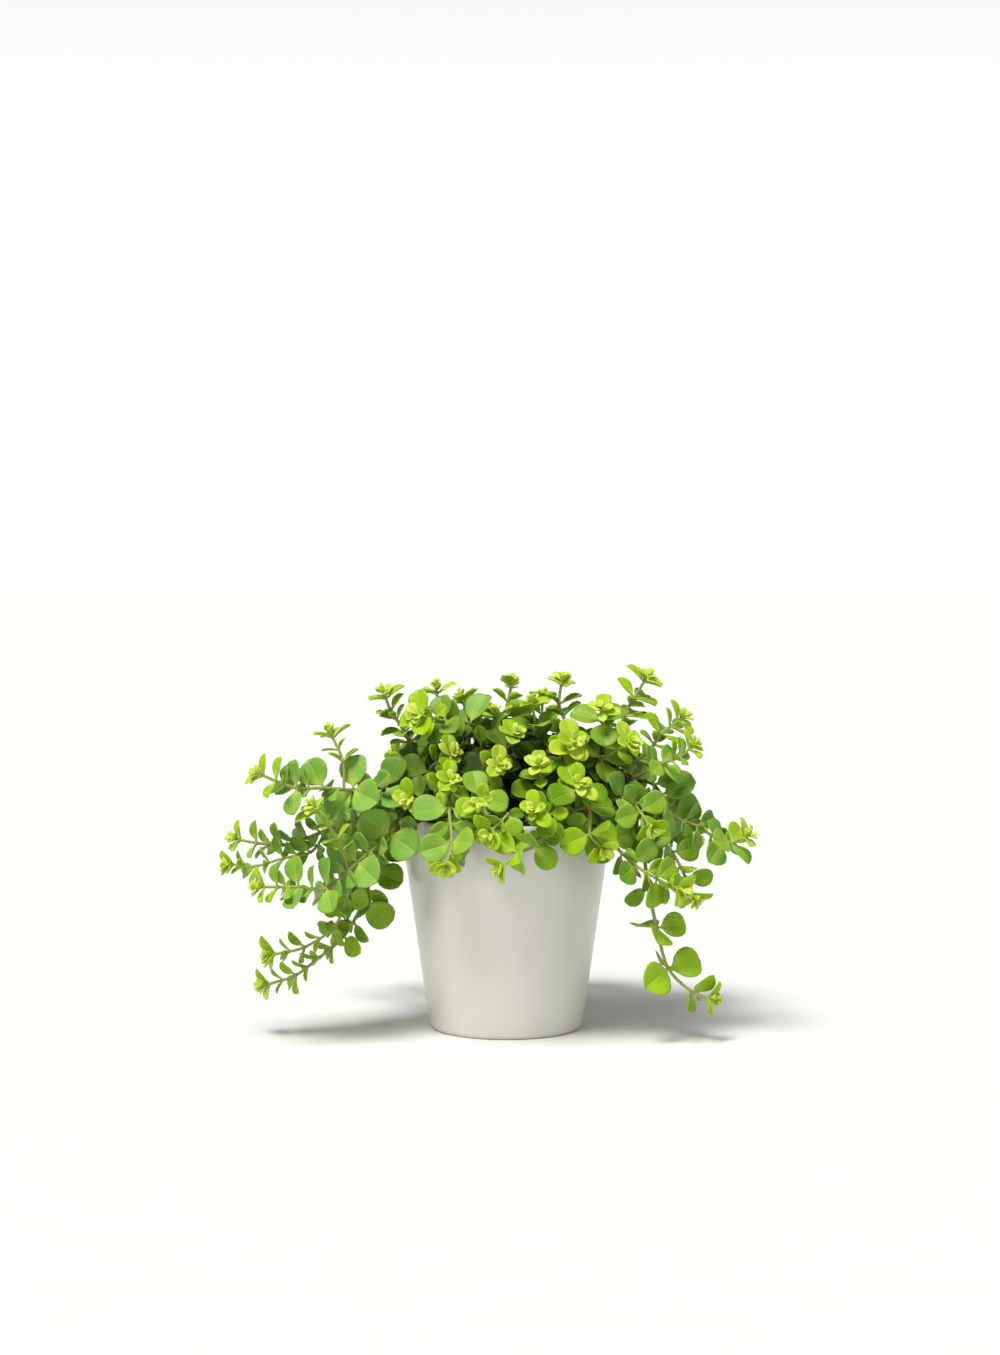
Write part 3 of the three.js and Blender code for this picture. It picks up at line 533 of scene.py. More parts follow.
# One leaf of a whorl, turned and tilted by degrees from where it would grow, and made so much smaller.
def leaf_at(whorl, number, turn=0, tilt=0, size=1):
    leaf, along = whorl["leaf"], whorl["along"]
    young = youngness(leaf)
    first, second = first_of(along, whorl["turn"])
    turned, tilted, sized, folded, narrowed = whorl["draws"][number]
    around_stem = math.radians(360 / LEAVES_IN_WHORL * number + varied("turn", turned) + turn)
    lean = math.radians(mix(*LEAN, young) + varied("lean", tilted) + tilt)
    facing = math.radians(whorl["facing"])
    rise = math.radians(mix(LIGHT_LOWEST, LIGHT_HIGHEST, narrowed * 3 % 1))
    light = np.array([math.cos(rise) * math.cos(facing), math.cos(rise) * math.sin(facing), math.sin(rise)])
    outwards = first * math.cos(around_stem) + second * math.sin(around_stem)
    grown = outwards * math.sin(lean) + along * math.cos(lean)
    grown = unit(grown - mix(*FROM_LIGHT, young) * (grown @ light) * light)
    face = light * mix(*FACING_LIGHT, young) + along * mix(*FACING_TIP, young)
    face = unit(face - (face @ grown) * grown)
    length = leaf * size * (1 - VARIED["size"] / 2 + VARIED["size"] * sized)
    width = length * (mix(*WIDTH_BY_LENGTH, young) + varied("width", narrowed))
    fold = LEAST_FOLD + VARIED["fold"] * folded
    return Leaf(whorl["place"], grown, face, length, width, fold, mix(*TIP_DROOP, young))


# A leaf that would cross something is turned, tilted or made smaller by the first of these that frees it.
CHANGES = [
    (0, 0, 1), (16, 0, 1), (-16, 0, 1), (0, -18, 1), (0, 18, 1), (24, -14, 0.92), (-24, -14, 0.92),
    (32, 12, 0.86), (-32, 12, 0.86), (12, -30, 0.8), (-12, -30, 0.8), (0, 34, 0.78),
    (42, 0, 0.7), (-42, 0, 0.7), (8, 6, 0.62), (-20, -12, 0.62), (20, 14, 0.62),
]


def whorl_on(axis, stem_number, position, leaf, turn, from_tip, draws):
    return {
        "stem": stem_number,
        "position": position,
        "place": axis["route"].at(position),
        "along": axis["route"].along(position),
        "facing": STEMS[stem_number]["facing"],
        "leaf": leaf,
        "turn": turn,
        "from_tip": from_tip,
        "draws": draws,
        "grown": [],
        "small": [],
    }


# The stems' middles with their radii, and the whorls of leaves that stand on them.
def stems_and_whorls(plants):
    stalks, whorls = [], []
    for s, axes in enumerate(plants):
        for a, axis in enumerate(axes):
            route = axis["route"]
            axis["whorls"] = []
            for i in range(route.last * SAMPLES_A_SPAN + 1):
                position = i / SAMPLES_A_SPAN
                stalks.append([*route.at(position), route.radius(position), s])
            for i, (_, leaf, turn) in enumerate(axis["points"]):
                if not leaf:
                    continue
                from_tip = len(axis["points"]) - 1 - i
                whorl = whorl_on(axis, s, axis["first"] + i, leaf, turn, from_tip, draws_for(s, a * 20 + i))
                axis["whorls"].append(whorl)
                whorls.append(whorl)
    return np.array(stalks), whorls


# Grows every stem's leaves, outermost whorls first, so that none crosses a stem, the pot or another leaf.
def grow():
    plants = [axes_of(made) for made in STEMS]
    stalks, whorls = stems_and_whorls(plants)
    leaves = []
    for whorl in sorted(whorls, key=lambda w: w["from_tip"]):
        near, others = neighbours(whorl, stalks, leaves)
        for number in range(LEAVES_IN_WHORL):
            leaf = first_fitting(whorl, number, CHANGES, near, others)
            fits = leaf is not None
            leaf = leaf if fits else leaf_at(whorl, number)
            leaf.fits = fits
            leaf.rank = whorl["from_tip"]
            whorl["grown"].append(leaf)
            if fits:
                leaves.append(leaf)
                others.append(leaf)
    return plants, stalks, whorls, leaves


def neighbours(whorl, stalks, leaves):
    distance = np.linalg.norm(stalks[:, :3] - whorl["place"], axis=1)
    own = (stalks[:, 4] == whorl["stem"]) & (distance < OWN_STEM_REACH)
    near = stalks[(distance < STEM_REACH) & ~own]
    others = [
        leaf for leaf in leaves
        if np.linalg.norm(leaf.root - whorl["place"]) < leaf.reach + NEIGHBOUR_REACH
    ]
    return near, others


def crosses_stem(leaf, near, clearance=BLADE_CLEARANCE):
    if not len(near):
        return False
    heights = heights_over(near[None, :, :3], stack([leaf]))[0]
    return bool(np.any(np.abs(heights) < near[:, 3] + clearance))


def first_fitting(whorl, number, changes, near, others, clearance=BLADE_CLEARANCE):
    for change in changes:
        leaf = leaf_at(whorl, number, *change)
        if (
            on_own_side(leaf, whorl, number)
            and not touches_pot(leaf, clearance)
            and not crosses_stem(leaf, near, clearance)
            and not clashes(leaf, others, clearance)
        ):
            return leaf
    return None


# Small leaves fill the places where a full leaf has no room, bare lengths of stem and each growing tip.
SMALL_CHANGES = [
    (turn, tilt, size)
    for size in (0.62, 0.5)
    for turn, tilt in ((0, 0), (18, -20), (-18, -20), (0, 24), (30, 0), (-30, 0))
]
BETWEEN_CHANGES = [
    (turn, tilt, size)
    for size in (1, 0.8, 0.62)
    for turn, tilt in ((0, 0), (20, -12), (-20, -12), (0, 22), (34, 0), (-34, 0), (14, -34))
]
# The rings of leaves round a growing tip, each further along the stem and younger than the last.
ROSETTE = [
    {"turn": 60, "tilt": -10, "size": 0.74, "rise": 1.2, "rank": -0.3},
    {"turn": 15, "tilt": -26, "size": 0.54, "rise": 3.2, "rank": -0.7},
    {"turn": 75, "tilt": -44, "size": 0.36, "rise": 4.8, "rank": -1},
]
ROSETTE_UNEVEN = {"turn": 30, "tilt": 24, "size": 0.4}
ROSETTE_STALK = 0.5
OWN_TIP_REACH = 3
SMALL_CLEARANCE = 0.3
# Bare lengths get a whorl for each such span, from just above the soil or the shoot's fork.
BETWEEN_SPAN = 11
BETWEEN_START = 2
BETWEEN_SHOOT_START = 0.3
BETWEEN_LEAF = 11.5
BETWEEN_SIZE = 0.78
BETWEEN_TURNS = (60, 47)
BETWEEN_DRAWS = (300, 60, 6)
SPAN_STEPS = 8
BARE_STEMS = ("stem_right_trail",)


def stretch(route, low, high):
    places = [route.at(mix(low, high, i / SPAN_STEPS)) for i in range(SPAN_STEPS + 1)]
    return sum(np.linalg.norm(after - before) for before, after in zip(places, places[1:]))


# Whorls of small leaves on the bare lengths between a stem's leafy points, and above the soil.
def between_whorls(plants):
    first_turn, next_turn = BETWEEN_TURNS
    first_draw, draws_an_axis, draws_a_length = BETWEEN_DRAWS
    made = []
    for s, axes in enumerate(plants):
        for a, axis in enumerate(axes):
            route, whorls = axis["route"], axis["whorls"]
            if not whorls or STEMS[s]["name"] in BARE_STEMS:
                continue
            start = BETWEEN_START if a == 0 else BETWEEN_SHOOT_START
            stops = [(start, whorls[0])] + [(whorl["position"], whorl) for whorl in whorls]
            for n, ((low, before), (high, after)) in enumerate(zip(stops, stops[1:])):
                leaf = min(BETWEEN_LEAF, BETWEEN_SIZE * (before["leaf"] + after["leaf"]) / 2)
                count = int(stretch(route, low, high) / BETWEEN_SPAN)
                for i in range(count):
                    position = mix(low, high, (i + 1) / (count + 1))
                    turn = after["turn"] + first_turn + next_turn * i
                    draws = draws_for(s, first_draw + a * draws_an_axis + n * draws_a_length + i)
                    whorl = whorl_on(axis, s, position, leaf, turn, after["from_tip"] + 0.5, draws)
                    made.append((axis, whorl))
    return made


def add_small_leaves(plants, stalks, whorls, leaves):
    small = []
    for whorl in whorls:
        near, others = neighbours(whorl, stalks, leaves + small)
        for number, grown in enumerate(whorl["grown"]):
            if not grown.fits:
                leaf = first_fitting(whorl, number, SMALL_CHANGES, near, others)
                keep_small(leaf, whorl, small, others)
        if not whorl["from_tip"]:
            add_rosette(whorl, others, small)
    for axis, whorl in between_whorls(plants):
        near, others = neighbours(whorl, stalks, leaves + small)
        for number in range(LEAVES_IN_WHORL):
            leaf = first_fitting(whorl, number, BETWEEN_CHANGES, near, others, SMALL_CLEARANCE)
            keep_small(leaf, whorl, small, others)
        if whorl["small"]:
            axis["whorls"].append(whorl)


# The crown of ever smaller leaves round a growing tip, which may touch each other but no others.
def add_rosette(whorl, others, small):
    strangers = [leaf for leaf in others if np.linalg.norm(leaf.root - whorl["place"]) > OWN_TIP_REACH]
    chances = np.random.default_rng(abs(int(1000 * whorl["place"].sum())))
    for ring in ROSETTE:
        for number in range(LEAVES_IN_WHORL):
            uneven = {name: amount * (chances.random() - 0.5) for name, amount in ROSETTE_UNEVEN.items()}
            turn, tilt = (ring[name] + uneven[name] for name in ("turn", "tilt"))
            leaf = leaf_at(whorl, number, turn, tilt, ring["size"] * (1 + uneven["size"]))
            leaf.root = leaf.root + ring["rise"] * whorl["along"]
            leaf.stalk *= ROSETTE_STALK
            leaf.samples = leaf.spread()
            if not touches_pot(leaf) and not clashes(leaf, strangers, SMALL_CLEARANCE):
                keep_small(leaf, whorl, small, others, ring["rank"])


def keep_small(leaf, whorl, small, others, rank=0):
    if leaf is None:
        return
    leaf.rank = whorl["from_tip"] + rank
    whorl["small"].append(leaf)
    small.append(leaf)
    others.append(leaf)


# Node trees, written as expressions.


# A socket of a node tree. Arithmetic on it adds Math nodes for numbers and Vector Math nodes for vectors.
class Wire:
    def __init__(self, board, socket):
        self.board = board
        self.socket = socket

    def __add__(self, other):
        return self.board.combine("ADD", self, other)

    def __radd__(self, other):
        return self.board.combine("ADD", other, self)

    def __sub__(self, other):
        return self.board.combine("SUBTRACT", self, other)

    def __rsub__(self, other):
        return self.board.combine("SUBTRACT", other, self)

    def __mul__(self, other):
        return self.board.combine("MULTIPLY", self, other)

    def __rmul__(self, other):
        return self.board.combine("MULTIPLY", other, self)

    def __truediv__(self, other):
        return self.board.combine("DIVIDE", self, other)

    def __rtruediv__(self, other):
        return self.board.combine("DIVIDE", other, self)

    def __pow__(self, other):
        return self.board.combine("POWER", self, other)

    def __abs__(self):
        return self.board.math("ABSOLUTE", self)


def is_vector(value):
    return isinstance(value, Wire) and value.socket.type == "VECTOR"


# A node tree with one method for any node, and short ones for the sums that expressions use.
class Board:
    def __init__(self, tree):
        self.tree = tree

    def node(self, kind, settings=None, sockets=None):
        made = self.tree.nodes.new(kind)
        for name, value in (settings or {}).items():
            setattr(made, name, value)
        for name, value in (sockets or {}).items():
            self.plug(made.inputs[name], value)
        return made

    def out(self, kind, settings=None, sockets=None, output=0):
        return Wire(self, self.node(kind, settings, sockets).outputs[output])

    def plug(self, socket, value):
        if isinstance(value, Wire):
            self.tree.links.new(value.socket, socket)
        else:
            socket.default_value = value

    def math(self, operation, *values):
        return self.out("ShaderNodeMath", {"operation": operation}, dict(enumerate(values)))

    def vector(self, operation, *values):
        return self.out("ShaderNodeVectorMath", {"operation": operation}, dict(enumerate(values)))

    def combine(self, operation, a, b):
        if is_vector(a) and is_vector(b):
            return self.vector(operation, a, b)
        if is_vector(a):
            return self.out("ShaderNodeVectorMath", {"operation": "SCALE"}, {0: a, "Scale": b})
        if is_vector(b):
            return self.out("ShaderNodeVectorMath", {"operation": "SCALE"}, {0: b, "Scale": a})
        return self.math(operation, a, b)

    def smooth(self, value, low, high):
        settings = {"interpolation_type": "SMOOTHSTEP"}
        return self.out("ShaderNodeMapRange", settings, {"Value": value, "From Min": low, "From Max": high})

    def blend(self, share, a, b):
        settings = {"data_type": "RGBA", "clamp_factor": True}
        return self.out("ShaderNodeMix", settings, {0: share, 6: a, 7: b}, output=2)


# Finishes.


# A colour as it looks on a screen, from 0 to 255, as the light that the surface reflects.
def tint(red, green, blue, strength=1.0):
    linear = [((c / 255 + 0.055) / 1.055) ** 2.4 if c > 10 else c / 255 / 12.92 for c in (red, green, blue)]
    return (*[strength * c for c in linear], 1.0)


def finish_board(name):
    material = bpy.data.materials.new(name)
    material.use_nodes = True
    material.node_tree.nodes.clear()
    return material, Board(material.node_tree)


def surface(board, sockets, bump=None):
    shader = board.node("ShaderNodeBsdfPrincipled", None, sockets)
    if bump:
        height, strength, distance = bump
        sockets = {"Height": height, "Strength": strength, "Distance": distance}
        board.plug(shader.inputs["Normal"], board.out("ShaderNodeBump", None, sockets))
    output = board.node("ShaderNodeOutputMaterial")
    board.tree.links.new(shader.outputs[0], output.inputs["Surface"])


def read(board, name):
    return board.out("ShaderNodeAttribute", {"attribute_name": name}, output=2)


def speckle(board, scale, detail=2.0, output=0):
    sockets = {"Vector": board.out("ShaderNodeTexCoord", output=3), "Scale": scale, "Detail": detail}
    return board.out("ShaderNodeTexNoise", None, sockets, output=output)


# The plant's colours as they look on a screen, and how much of their light it gives back in the studio.
PLANT_LIGHT = 0.88
LEAF_TINTS = {
    "deep green": (80, 124, 2),
    "fresh green": (132, 172, 6),
    # The next colour is a painted bluish sheen on grown leaves.
    "bloom": (134, 178, 78),
    "patch": (112, 158, 12),
    "young": (156, 194, 6),
    "youngest": (212, 230, 88),
    "old": (158, 196, 24),
    "mottle": (160, 200, 70),
    "vein": (184, 214, 110),
    "foot": (198, 222, 88),
    # margin: a pale rim, partly the blade's paler edge and partly a painted rim highlight
    "margin": (190, 214, 110),
    "underside": (150, 190, 70),
    # inside: painted shade, near black, for leaves deep inside the crown
    "inside": (12, 40, 0),
}
STALK_TINTS = {
    "tan": (122, 104, 56),
    "brown": (108, 70, 48),
    "green": (152, 162, 66),
    "pale green": (176, 186, 104),
    "knot": (132, 84, 50),
    "fibre": (96, 70, 40),
    # inside: painted shade for stalks deep inside the crown
    "inside": (40, 30, 16),
}


def plant_tints(named):
    return {name: tint(*colour, PLANT_LIGHT) for name, colour in named.items()}


# The skin of a leaf: green when grown, greyer with a painted bluish sheen on some stems, yellow-green when
# young, yellower when old, with fine pale veins that part at the blade's foot and meet again near its tip.
# Deep inside the crown the skin is darkened towards near black as painted shade.
def leaf_skin():
    material, board = finish_board("fleshy leaf skin")
    share, side = read(board, "blade_share"), read(board, "blade_side")
    youth, age, tone, bloom = (read(board, name) for name in ("youth", "age", "tone", "bloom"))
    painted_shade_depth, upper = read(board, "inner"), read(board, "upper")
    from_middle = abs(side)
    mottle = speckle(board, 260.0, 3.0)
    patch = speckle(board, 45.0, 2.0)
    swell = speckle(board, 160.0, 1.0)

    tints = plant_tints(LEAF_TINTS)
    green = board.blend(tone, tints["deep green"], tints["fresh green"])
    # Painted sheen: grown leaves on some stems blend towards a greyer bluish green.
    green = board.blend(bloom, green, tints["bloom"])
    green = board.blend(board.smooth(patch, 0.4, 0.7) * 0.35, green, tints["patch"])
    lit = board.blend(board.smooth(youth, 0.1, 0.55), green, tints["young"])
    lit = board.blend(board.smooth(youth, 0.5, 1.0), lit, tints["youngest"])
    skin = board.blend(age, lit, tints["old"])
    skin = board.blend(board.smooth(mottle, 0.5, 0.8) * 0.15, skin, tints["mottle"])

    spread = 4 * share * (1 - share)
    along_blade = board.smooth(share, 0.0, 0.1) * (1 - board.smooth(share, 0.75, 0.98))
    midrib = 1 - board.smooth(from_middle, 0.015, 0.07)
    inner = 1 - board.smooth(abs(from_middle - 0.38 * spread), 0.01, 0.06)
    outer = 1 - board.smooth(abs(from_middle - 0.72 * spread), 0.01, 0.05)
    side_veins = board.math("MAXIMUM", inner * 0.45, outer * 0.25)
    veins = board.math("MAXIMUM", midrib, side_veins) * along_blade
    skin = board.blend(veins * 0.32, skin, tints["vein"])
    foot = 1 - board.smooth(share, 0.0, 0.42)
    skin = board.blend(foot * 0.42, skin, tints["foot"])
    # A pale rim at the blade's edge and tip, partly its paler edge and partly a painted rim highlight.
    margin = board.math("MAXIMUM", board.smooth(from_middle, 0.9, 0.99), board.smooth(share, 0.95, 1.0))
    skin = board.blend(margin * 0.3, skin, tints["margin"])
    skin = board.blend((1 - upper) * 0.4, skin, tints["underside"])
    # Painted shade: leaves deep inside the crown are blended towards near black.
    skin = board.blend(painted_shade_depth * 0.9, skin, tints["inside"])

    surface(
        board,
        {
            "Base Color": skin,
            "Roughness": 0.4 + 0.12 * mottle,
            "Specular IOR Level": 0.14,
            "Coat Weight": 0.08,
            "Coat Roughness": 0.3,
            "Subsurface Weight": 0.15,
            "Subsurface Radius": (0.5, 1.0, 0.1),
            "Subsurface Scale": 0.001,
        },
        bump=(mottle * 0.3 + swell * 2 - midrib * along_blade, 0.35, 0.0003),
    )
    return material


def stalk_skin():
    material, board = finish_board("woody to green stalk skin")
    grown, knot, tone = read(board, "grown"), read(board, "knot"), read(board, "tone")
    fibre = speckle(board, 420.0, 4.0)
    patch = speckle(board, 60.0, 2.0)
    tints = plant_tints(STALK_TINTS)
    old = board.blend(tone, tints["tan"], tints["brown"])
    young = board.blend(patch, tints["green"], tints["pale green"])
    skin = board.blend(board.smooth(grown + 0.3 * (patch - 0.5), 0.3, 0.85), old, young)
    skin = board.blend(knot * 0.5, skin, tints["knot"])
    skin = board.blend(board.smooth(fibre, 0.5, 0.75) * 0.35, skin, tints["fibre"])
    # Painted shade: stalks deep inside the crown are darkened.
    skin = board.blend(read(board, "inner") * 0.8, skin, tints["inside"])
    surface(
        board,
        {"Base Color": skin, "Roughness": 0.5 + 0.2 * fibre, "Subsurface Weight": 0.0},
        bump=(fibre, 0.3, 0.0002),
    )
    return material


def glaze():
    material, board = finish_board("satin off-white glaze")
    broad = speckle(board, 14.0, 2.0)
    fine = speckle(board, 700.0, 2.0)
    place = board.out("ShaderNodeTexCoord", output=3)
    height = board.out("ShaderNodeSeparateXYZ", None, {0: place}, output=2)
    body = board.blend(broad, tint(226, 223, 214, 0.82), tint(234, 232, 225, 0.82))
    rim = board.smooth(height, 0.1165, 0.1198)
    body = board.blend(rim * 0.35, body, tint(214, 206, 190, 0.8))
    foot = 1 - board.smooth(height, 0.0008, 0.003)
    body = board.blend(foot * 0.6, body, tint(206, 192, 172, 0.9))
    body = board.blend(board.smooth(fine, 0.7, 0.78) * 0.25, body, tint(196, 184, 166, 0.9))
    surface(
        board,
        {
            "Base Color": body,
            "Roughness": 0.3 + 0.1 * broad + 0.3 * foot,
            "Coat Weight": 0.3,
            "Coat Roughness": 0.2,
        },
        bump=(broad * 2 + fine * 0.2, 0.25, 0.0006),
    )
    return material


def potting_soil():
    material, board = finish_board("crumbly potting soil")
    grain = speckle(board, 500.0, 5.0)
    clump = speckle(board, 90.0, 3.0)
    body = board.blend(clump, tint(30, 21, 16), tint(52, 37, 27))
    body = board.blend(board.smooth(grain, 0.62, 0.75) * 0.6, body, tint(96, 74, 54))
    surface(board, {"Base Color": body, "Roughness": 0.95}, bump=(grain + clump, 0.8, 0.0008))
    return material


def pale_floor():
    material, board = finish_board("pale floor")
    grain = speckle(board, 30.0, 2.0)
    body = board.blend(grain, tint(222, 222, 221), tint(226, 226, 225))
    surface(board, {"Base Color": body, "Roughness": 0.8})
    return material


# Forms.


def mesh_object(name, points, edges, faces):
    mesh = bpy.data.meshes.new(name)
    mesh.from_pydata([tuple(point) for point in points], edges, faces)
    made = bpy.data.objects.new(name, mesh)
    bpy.context.scene.collection.objects.link(made)
    return made


def note(mesh, name, values, kind="FLOAT"):
    attribute = mesh.attributes.new(name, kind, "POINT")
    values = np.array(values, np.float32)
    attribute.data.foreach_set("vector" if kind == "FLOAT_VECTOR" else "value", values.ravel())


# A leaf's form as rings round its length, from inside the stem at share -1, past the stalk's end at 0, to
# its tip. Each ring has points across its upper side and one in the middle of its lower side.
def leaf_form(name, shares, sides):
    rings = [(side, 1.0 if abs(side) < 1 else 0.0) for side in sides] + [(0.0, -1.0)]
    around_ring = len(rings)
    share_of, side_of, lift_of, points, faces = [], [], [], [], []
    for share in shares[:-1]:
        for side, lift in rings:
            share_of.append(share)
            side_of.append(side)
            lift_of.append(lift)
            points.append((share, side, 0.1 * lift))
    share_of.append(shares[-1])
    side_of.append(0.0)
    lift_of.append(0.0)
    points.append((shares[-1], 0.0, 0.0))
    tip = len(points) - 1
    for row in range(len(shares) - 2):
        for i in range(around_ring):
            j = (i + 1) % around_ring
            low, high = row * around_ring, (row + 1) * around_ring
            faces.append((low + i, high + i, high + j, low + j))
    for i in range(around_ring):
        faces.append((high + i, tip, high + (i + 1) % around_ring))
    faces.append(tuple(range(around_ring)))
    made = mesh_object(name, points, [], faces)
    note(made.data, "blade_share", share_of)
    note(made.data, "blade_side", side_of)
    note(made.data, "lift", lift_of)
    note(made.data, "upper", [1.0 if lift >= 0 else 0.0 for lift in lift_of])
    sharp = made.data.attributes.new("sharp_edge", "BOOLEAN", "EDGE")
    middle = [i for i in range(len(points)) if side_of[i] == 0 and lift_of[i] >= 0 and share_of[i] >= 0]
    sharp.data.foreach_set("value", [set(edge.vertices) <= set(middle) for edge in made.data.edges])
    return made


LARGE_SHARES = (-1.0, -0.25, 0.015, 0.12, 0.28, 0.46, 0.64, 0.8, 0.92, 1.0)
LARGE_SIDES = (-1.0, -0.88, -0.45, 0.0, 0.45, 0.88, 1.0)
SMALL_SHARES = (-1.0, -0.2, 0.05, 0.28, 0.56, 0.82, 1.0)
SMALL_SIDES = (-1.0, -0.5, 0.0, 0.5, 1.0)
SMALL_FORM_BELOW = 8.5

# The sizes of the leafy stem's node tree, in metres where they are lengths.
LEAFY_STEM_SIZES = {
    "Blade thickness": 0.9 * MM,
    "Stalk width": 1.3 * MM,
    "Stalk end thickness": 1.1 * MM,
    "Blade cup": 0.45,
}


# A new tree with named inputs of some kinds and one result: its board and its inputs.
def new_tree(name, inputs, result):
    tree = bpy.data.node_groups.new(name, "GeometryNodeTree")
    for named, kind in inputs.items():
        tree.interface.new_socket(named, in_out="INPUT", socket_type="NodeSocket" + kind)
    tree.interface.new_socket(result, in_out="OUTPUT", socket_type="NodeSocketGeometry")
    board = Board(tree)
    outputs = board.node("NodeGroupInput").outputs
    return board, {named: Wire(board, outputs[named]) for named in inputs}


def joined(board, *parts):
    join = board.node("GeometryNodeJoinGeometry")
    for part in parts:
        board.tree.links.new(part.socket, join.inputs[0])
    return Wire(board, join.outputs[0])


def leafy_stem_tree(large_leaf, small_leaf, leaf_finish, stalk_finish):
    inputs = {
        "Plan": "Geometry",
        **dict.fromkeys(LEAFY_STEM_SIZES, "Float"),
        "Stem sides": "Int",
        "Large leaf": "Object",
        "Small leaf": "Object",
        "Leaf finish": "Material",
        "Stalk finish": "Material",
    }
    board, given = new_tree("leafy stem", inputs, "Leafy stem")
    plan = given["Plan"]

    def named(name, kind="FLOAT"):
        return board.out("GeometryNodeInputNamedAttribute", {"data_type": kind}, {"Name": name})

    def grow_on(form, selection):
        instance = board.out("GeometryNodeObjectInfo", None, {"Object": given[form]}, output="Geometry")
        sockets = {"Points": plan, "Selection": selection, "Instance": instance}
        return board.out("GeometryNodeInstanceOnPoints", None, sockets)

    length, form = named("blade_length"), named("small_form")
    is_leaf = board.math("GREATER_THAN", length, 0.0)
    large_leaves = grow_on("Large leaf", is_leaf * (1 - form))
    small_leaves = grow_on("Small leaf", is_leaf * form)
    leaves = board.out("GeometryNodeRealizeInstances", None, {0: joined(board, large_leaves, small_leaves)})

    share, side, lift = named("blade_share"), named("blade_side"), named("lift")
    stalk, width = named("stalk_length"), named("blade_width")
    on_blade = board.math("MAXIMUM", share, 0.0)
    shaped = on_blade**1.12
    full = width * board.math("SQRT", shaped * (1 - shaped))
    half = board.math("MAXIMUM", full, given["Stalk width"] / 2 * (1 - on_blade))
    x = stalk * board.math("MINIMUM", share + 1, 1.0) + length * on_blade
    y = side * half
    bend = named("fold") * abs(y) - named("droop") * length * on_blade**2
    cup = given["Blade cup"] * y * y / (width + 0.001) * on_blade
    wave = named("ripple") * length * board.math("SINE", on_blade * 7 + side * 1.5) * abs(side) * on_blade
    thin, thick = given["Blade thickness"], given["Stalk end thickness"]
    thickness = thin + (1 - board.math("MINIMUM", on_blade * 8, 1.0)) * (thick - thin)
    z = bend + cup + wave + lift * thickness / 2
    grows, faces = named("grows", "FLOAT_VECTOR"), named("faces", "FLOAT_VECTOR")
    across = board.vector("CROSS_PRODUCT", faces, grows)
    place = named("root", "FLOAT_VECTOR") + grows * x + across * y + faces * z
    leaves = board.out("GeometryNodeSetPosition", None, {"Geometry": leaves, "Position": place})

    line = board.out("GeometryNodeMeshToCurve", None, {0: plan})
    ring = {"Resolution": given["Stem sides"], "Radius": 1.0}
    ring = board.out("GeometryNodeCurvePrimitiveCircle", None, ring)
    tube = {"Curve": line, "Profile Curve": ring, "Scale": named("thickness"), "Fill Caps": True}
    tube = board.out("GeometryNodeCurveToMesh", None, tube)

    whole = board.out("GeometryNodeSetShadeSmooth", None, {0: joined(board, leaves, tube)})
    whole = board.out("GeometryNodeRealizeInstances", None, {0: whole})
    for name, wanted in (("Leaf finish", 1 - named("is_stalk")), ("Stalk finish", named("is_stalk"))):
        sockets = {"Geometry": whole, "Selection": wanted, "Material": given[name]}
        whole = board.out("GeometryNodeSetMaterial", None, sockets)
    board.node("NodeGroupOutput", None, {"Leafy stem": whole})
    given_values = {
        **LEAFY_STEM_SIZES,
        "Stem sides": 8,
        "Large leaf": large_leaf,
        "Small leaf": small_leaf,
        "Leaf finish": leaf_finish,
        "Stalk finish": stalk_finish,
    }
    return board.tree, given_values


# Gives an object the tree, sets its inputs, and makes the result the object's own plain mesh.
def grown_by(tree, values, made):
    modifier = made.modifiers.new("grow", "NODES")
    modifier.node_group = tree
    sockets = {item.name: item.identifier for item in tree.interface.items_tree if item.in_out == "INPUT"}
    for name, value in values.items():
        modifier[sockets[name]] = value
    done = bpy.data.meshes.new_from_object(made.evaluated_get(bpy.context.evaluated_depsgraph_get()))
    done.name = made.name
    made.modifiers.clear()
    old = made.data
    made.data = done
    bpy.data.meshes.remove(old)
    return made


# Stems whose grown leaves are greyer, with a painted bluish sheen, and by how much.
PAINTED_SHEEN = {
    "stem_left_high": 0.95, "stem_left_mid": 0.95, "stem_left_fork": 0.5, "stem_top_left": 0.8,
    "stem_front_cup": 0.8, "stem_front_drape_left": 0.9, "stem_front_shoulder_left": 0.8,
    "stem_crown_left": 0.6, "stem_inner_left": 0.7, "stem_front_left_tip": 0.6, "stem_rosette_right": 0.5,
    "stem_shoulder_low": 0.7, "stem_right_shoulder": 0.8, "stem_right_reach": 0.6, "stem_tan_stalk": 0.5,
    "stem_top_pale": 0.5, "stem_right_front": 0.4,
}
# How much painted sheen other stems get, and how much it varies by chance.
PLAIN_PAINTED_SHEEN = 0.2
PAINTED_SHEEN_VARIED = 0.4
# The crown's middle and half sizes, in millimetres, and the shares of its depth where light fails, over
# which the painted shade grows to full.
CROWN_MIDDLE = (0, -6, 140)
CROWN_SIZE = (92, 62, 44)
CROWN_DARKENS = (0.14, 0.42)
# How young a leaf looks by its whorl's number from the tip; the rings of the growing tip count below 0.
YOUTH_RANKS = (-1, -0.5, 0, 1, 2, 3)
YOUTH_SHARES = (1.0, 0.82, 0.58, 0.36, 0.16, 0.0)
YOUTH_BY_LENGTH = 0.12
YOUTH_VARIED = 0.3
# A leaf below the first height, in millimetres, looks old, fully so this much lower, and less near a tip.
HANGS_BELOW = 95
HANGS_FULLY = 50
HANGING_AGE = 0.7
TIP_AGE = 0.2
# How much a leaf's rim ripples, by its length, at least and as much more when young.
RIPPLE = (0.02, 0.05)
INNER_AT = 0.6
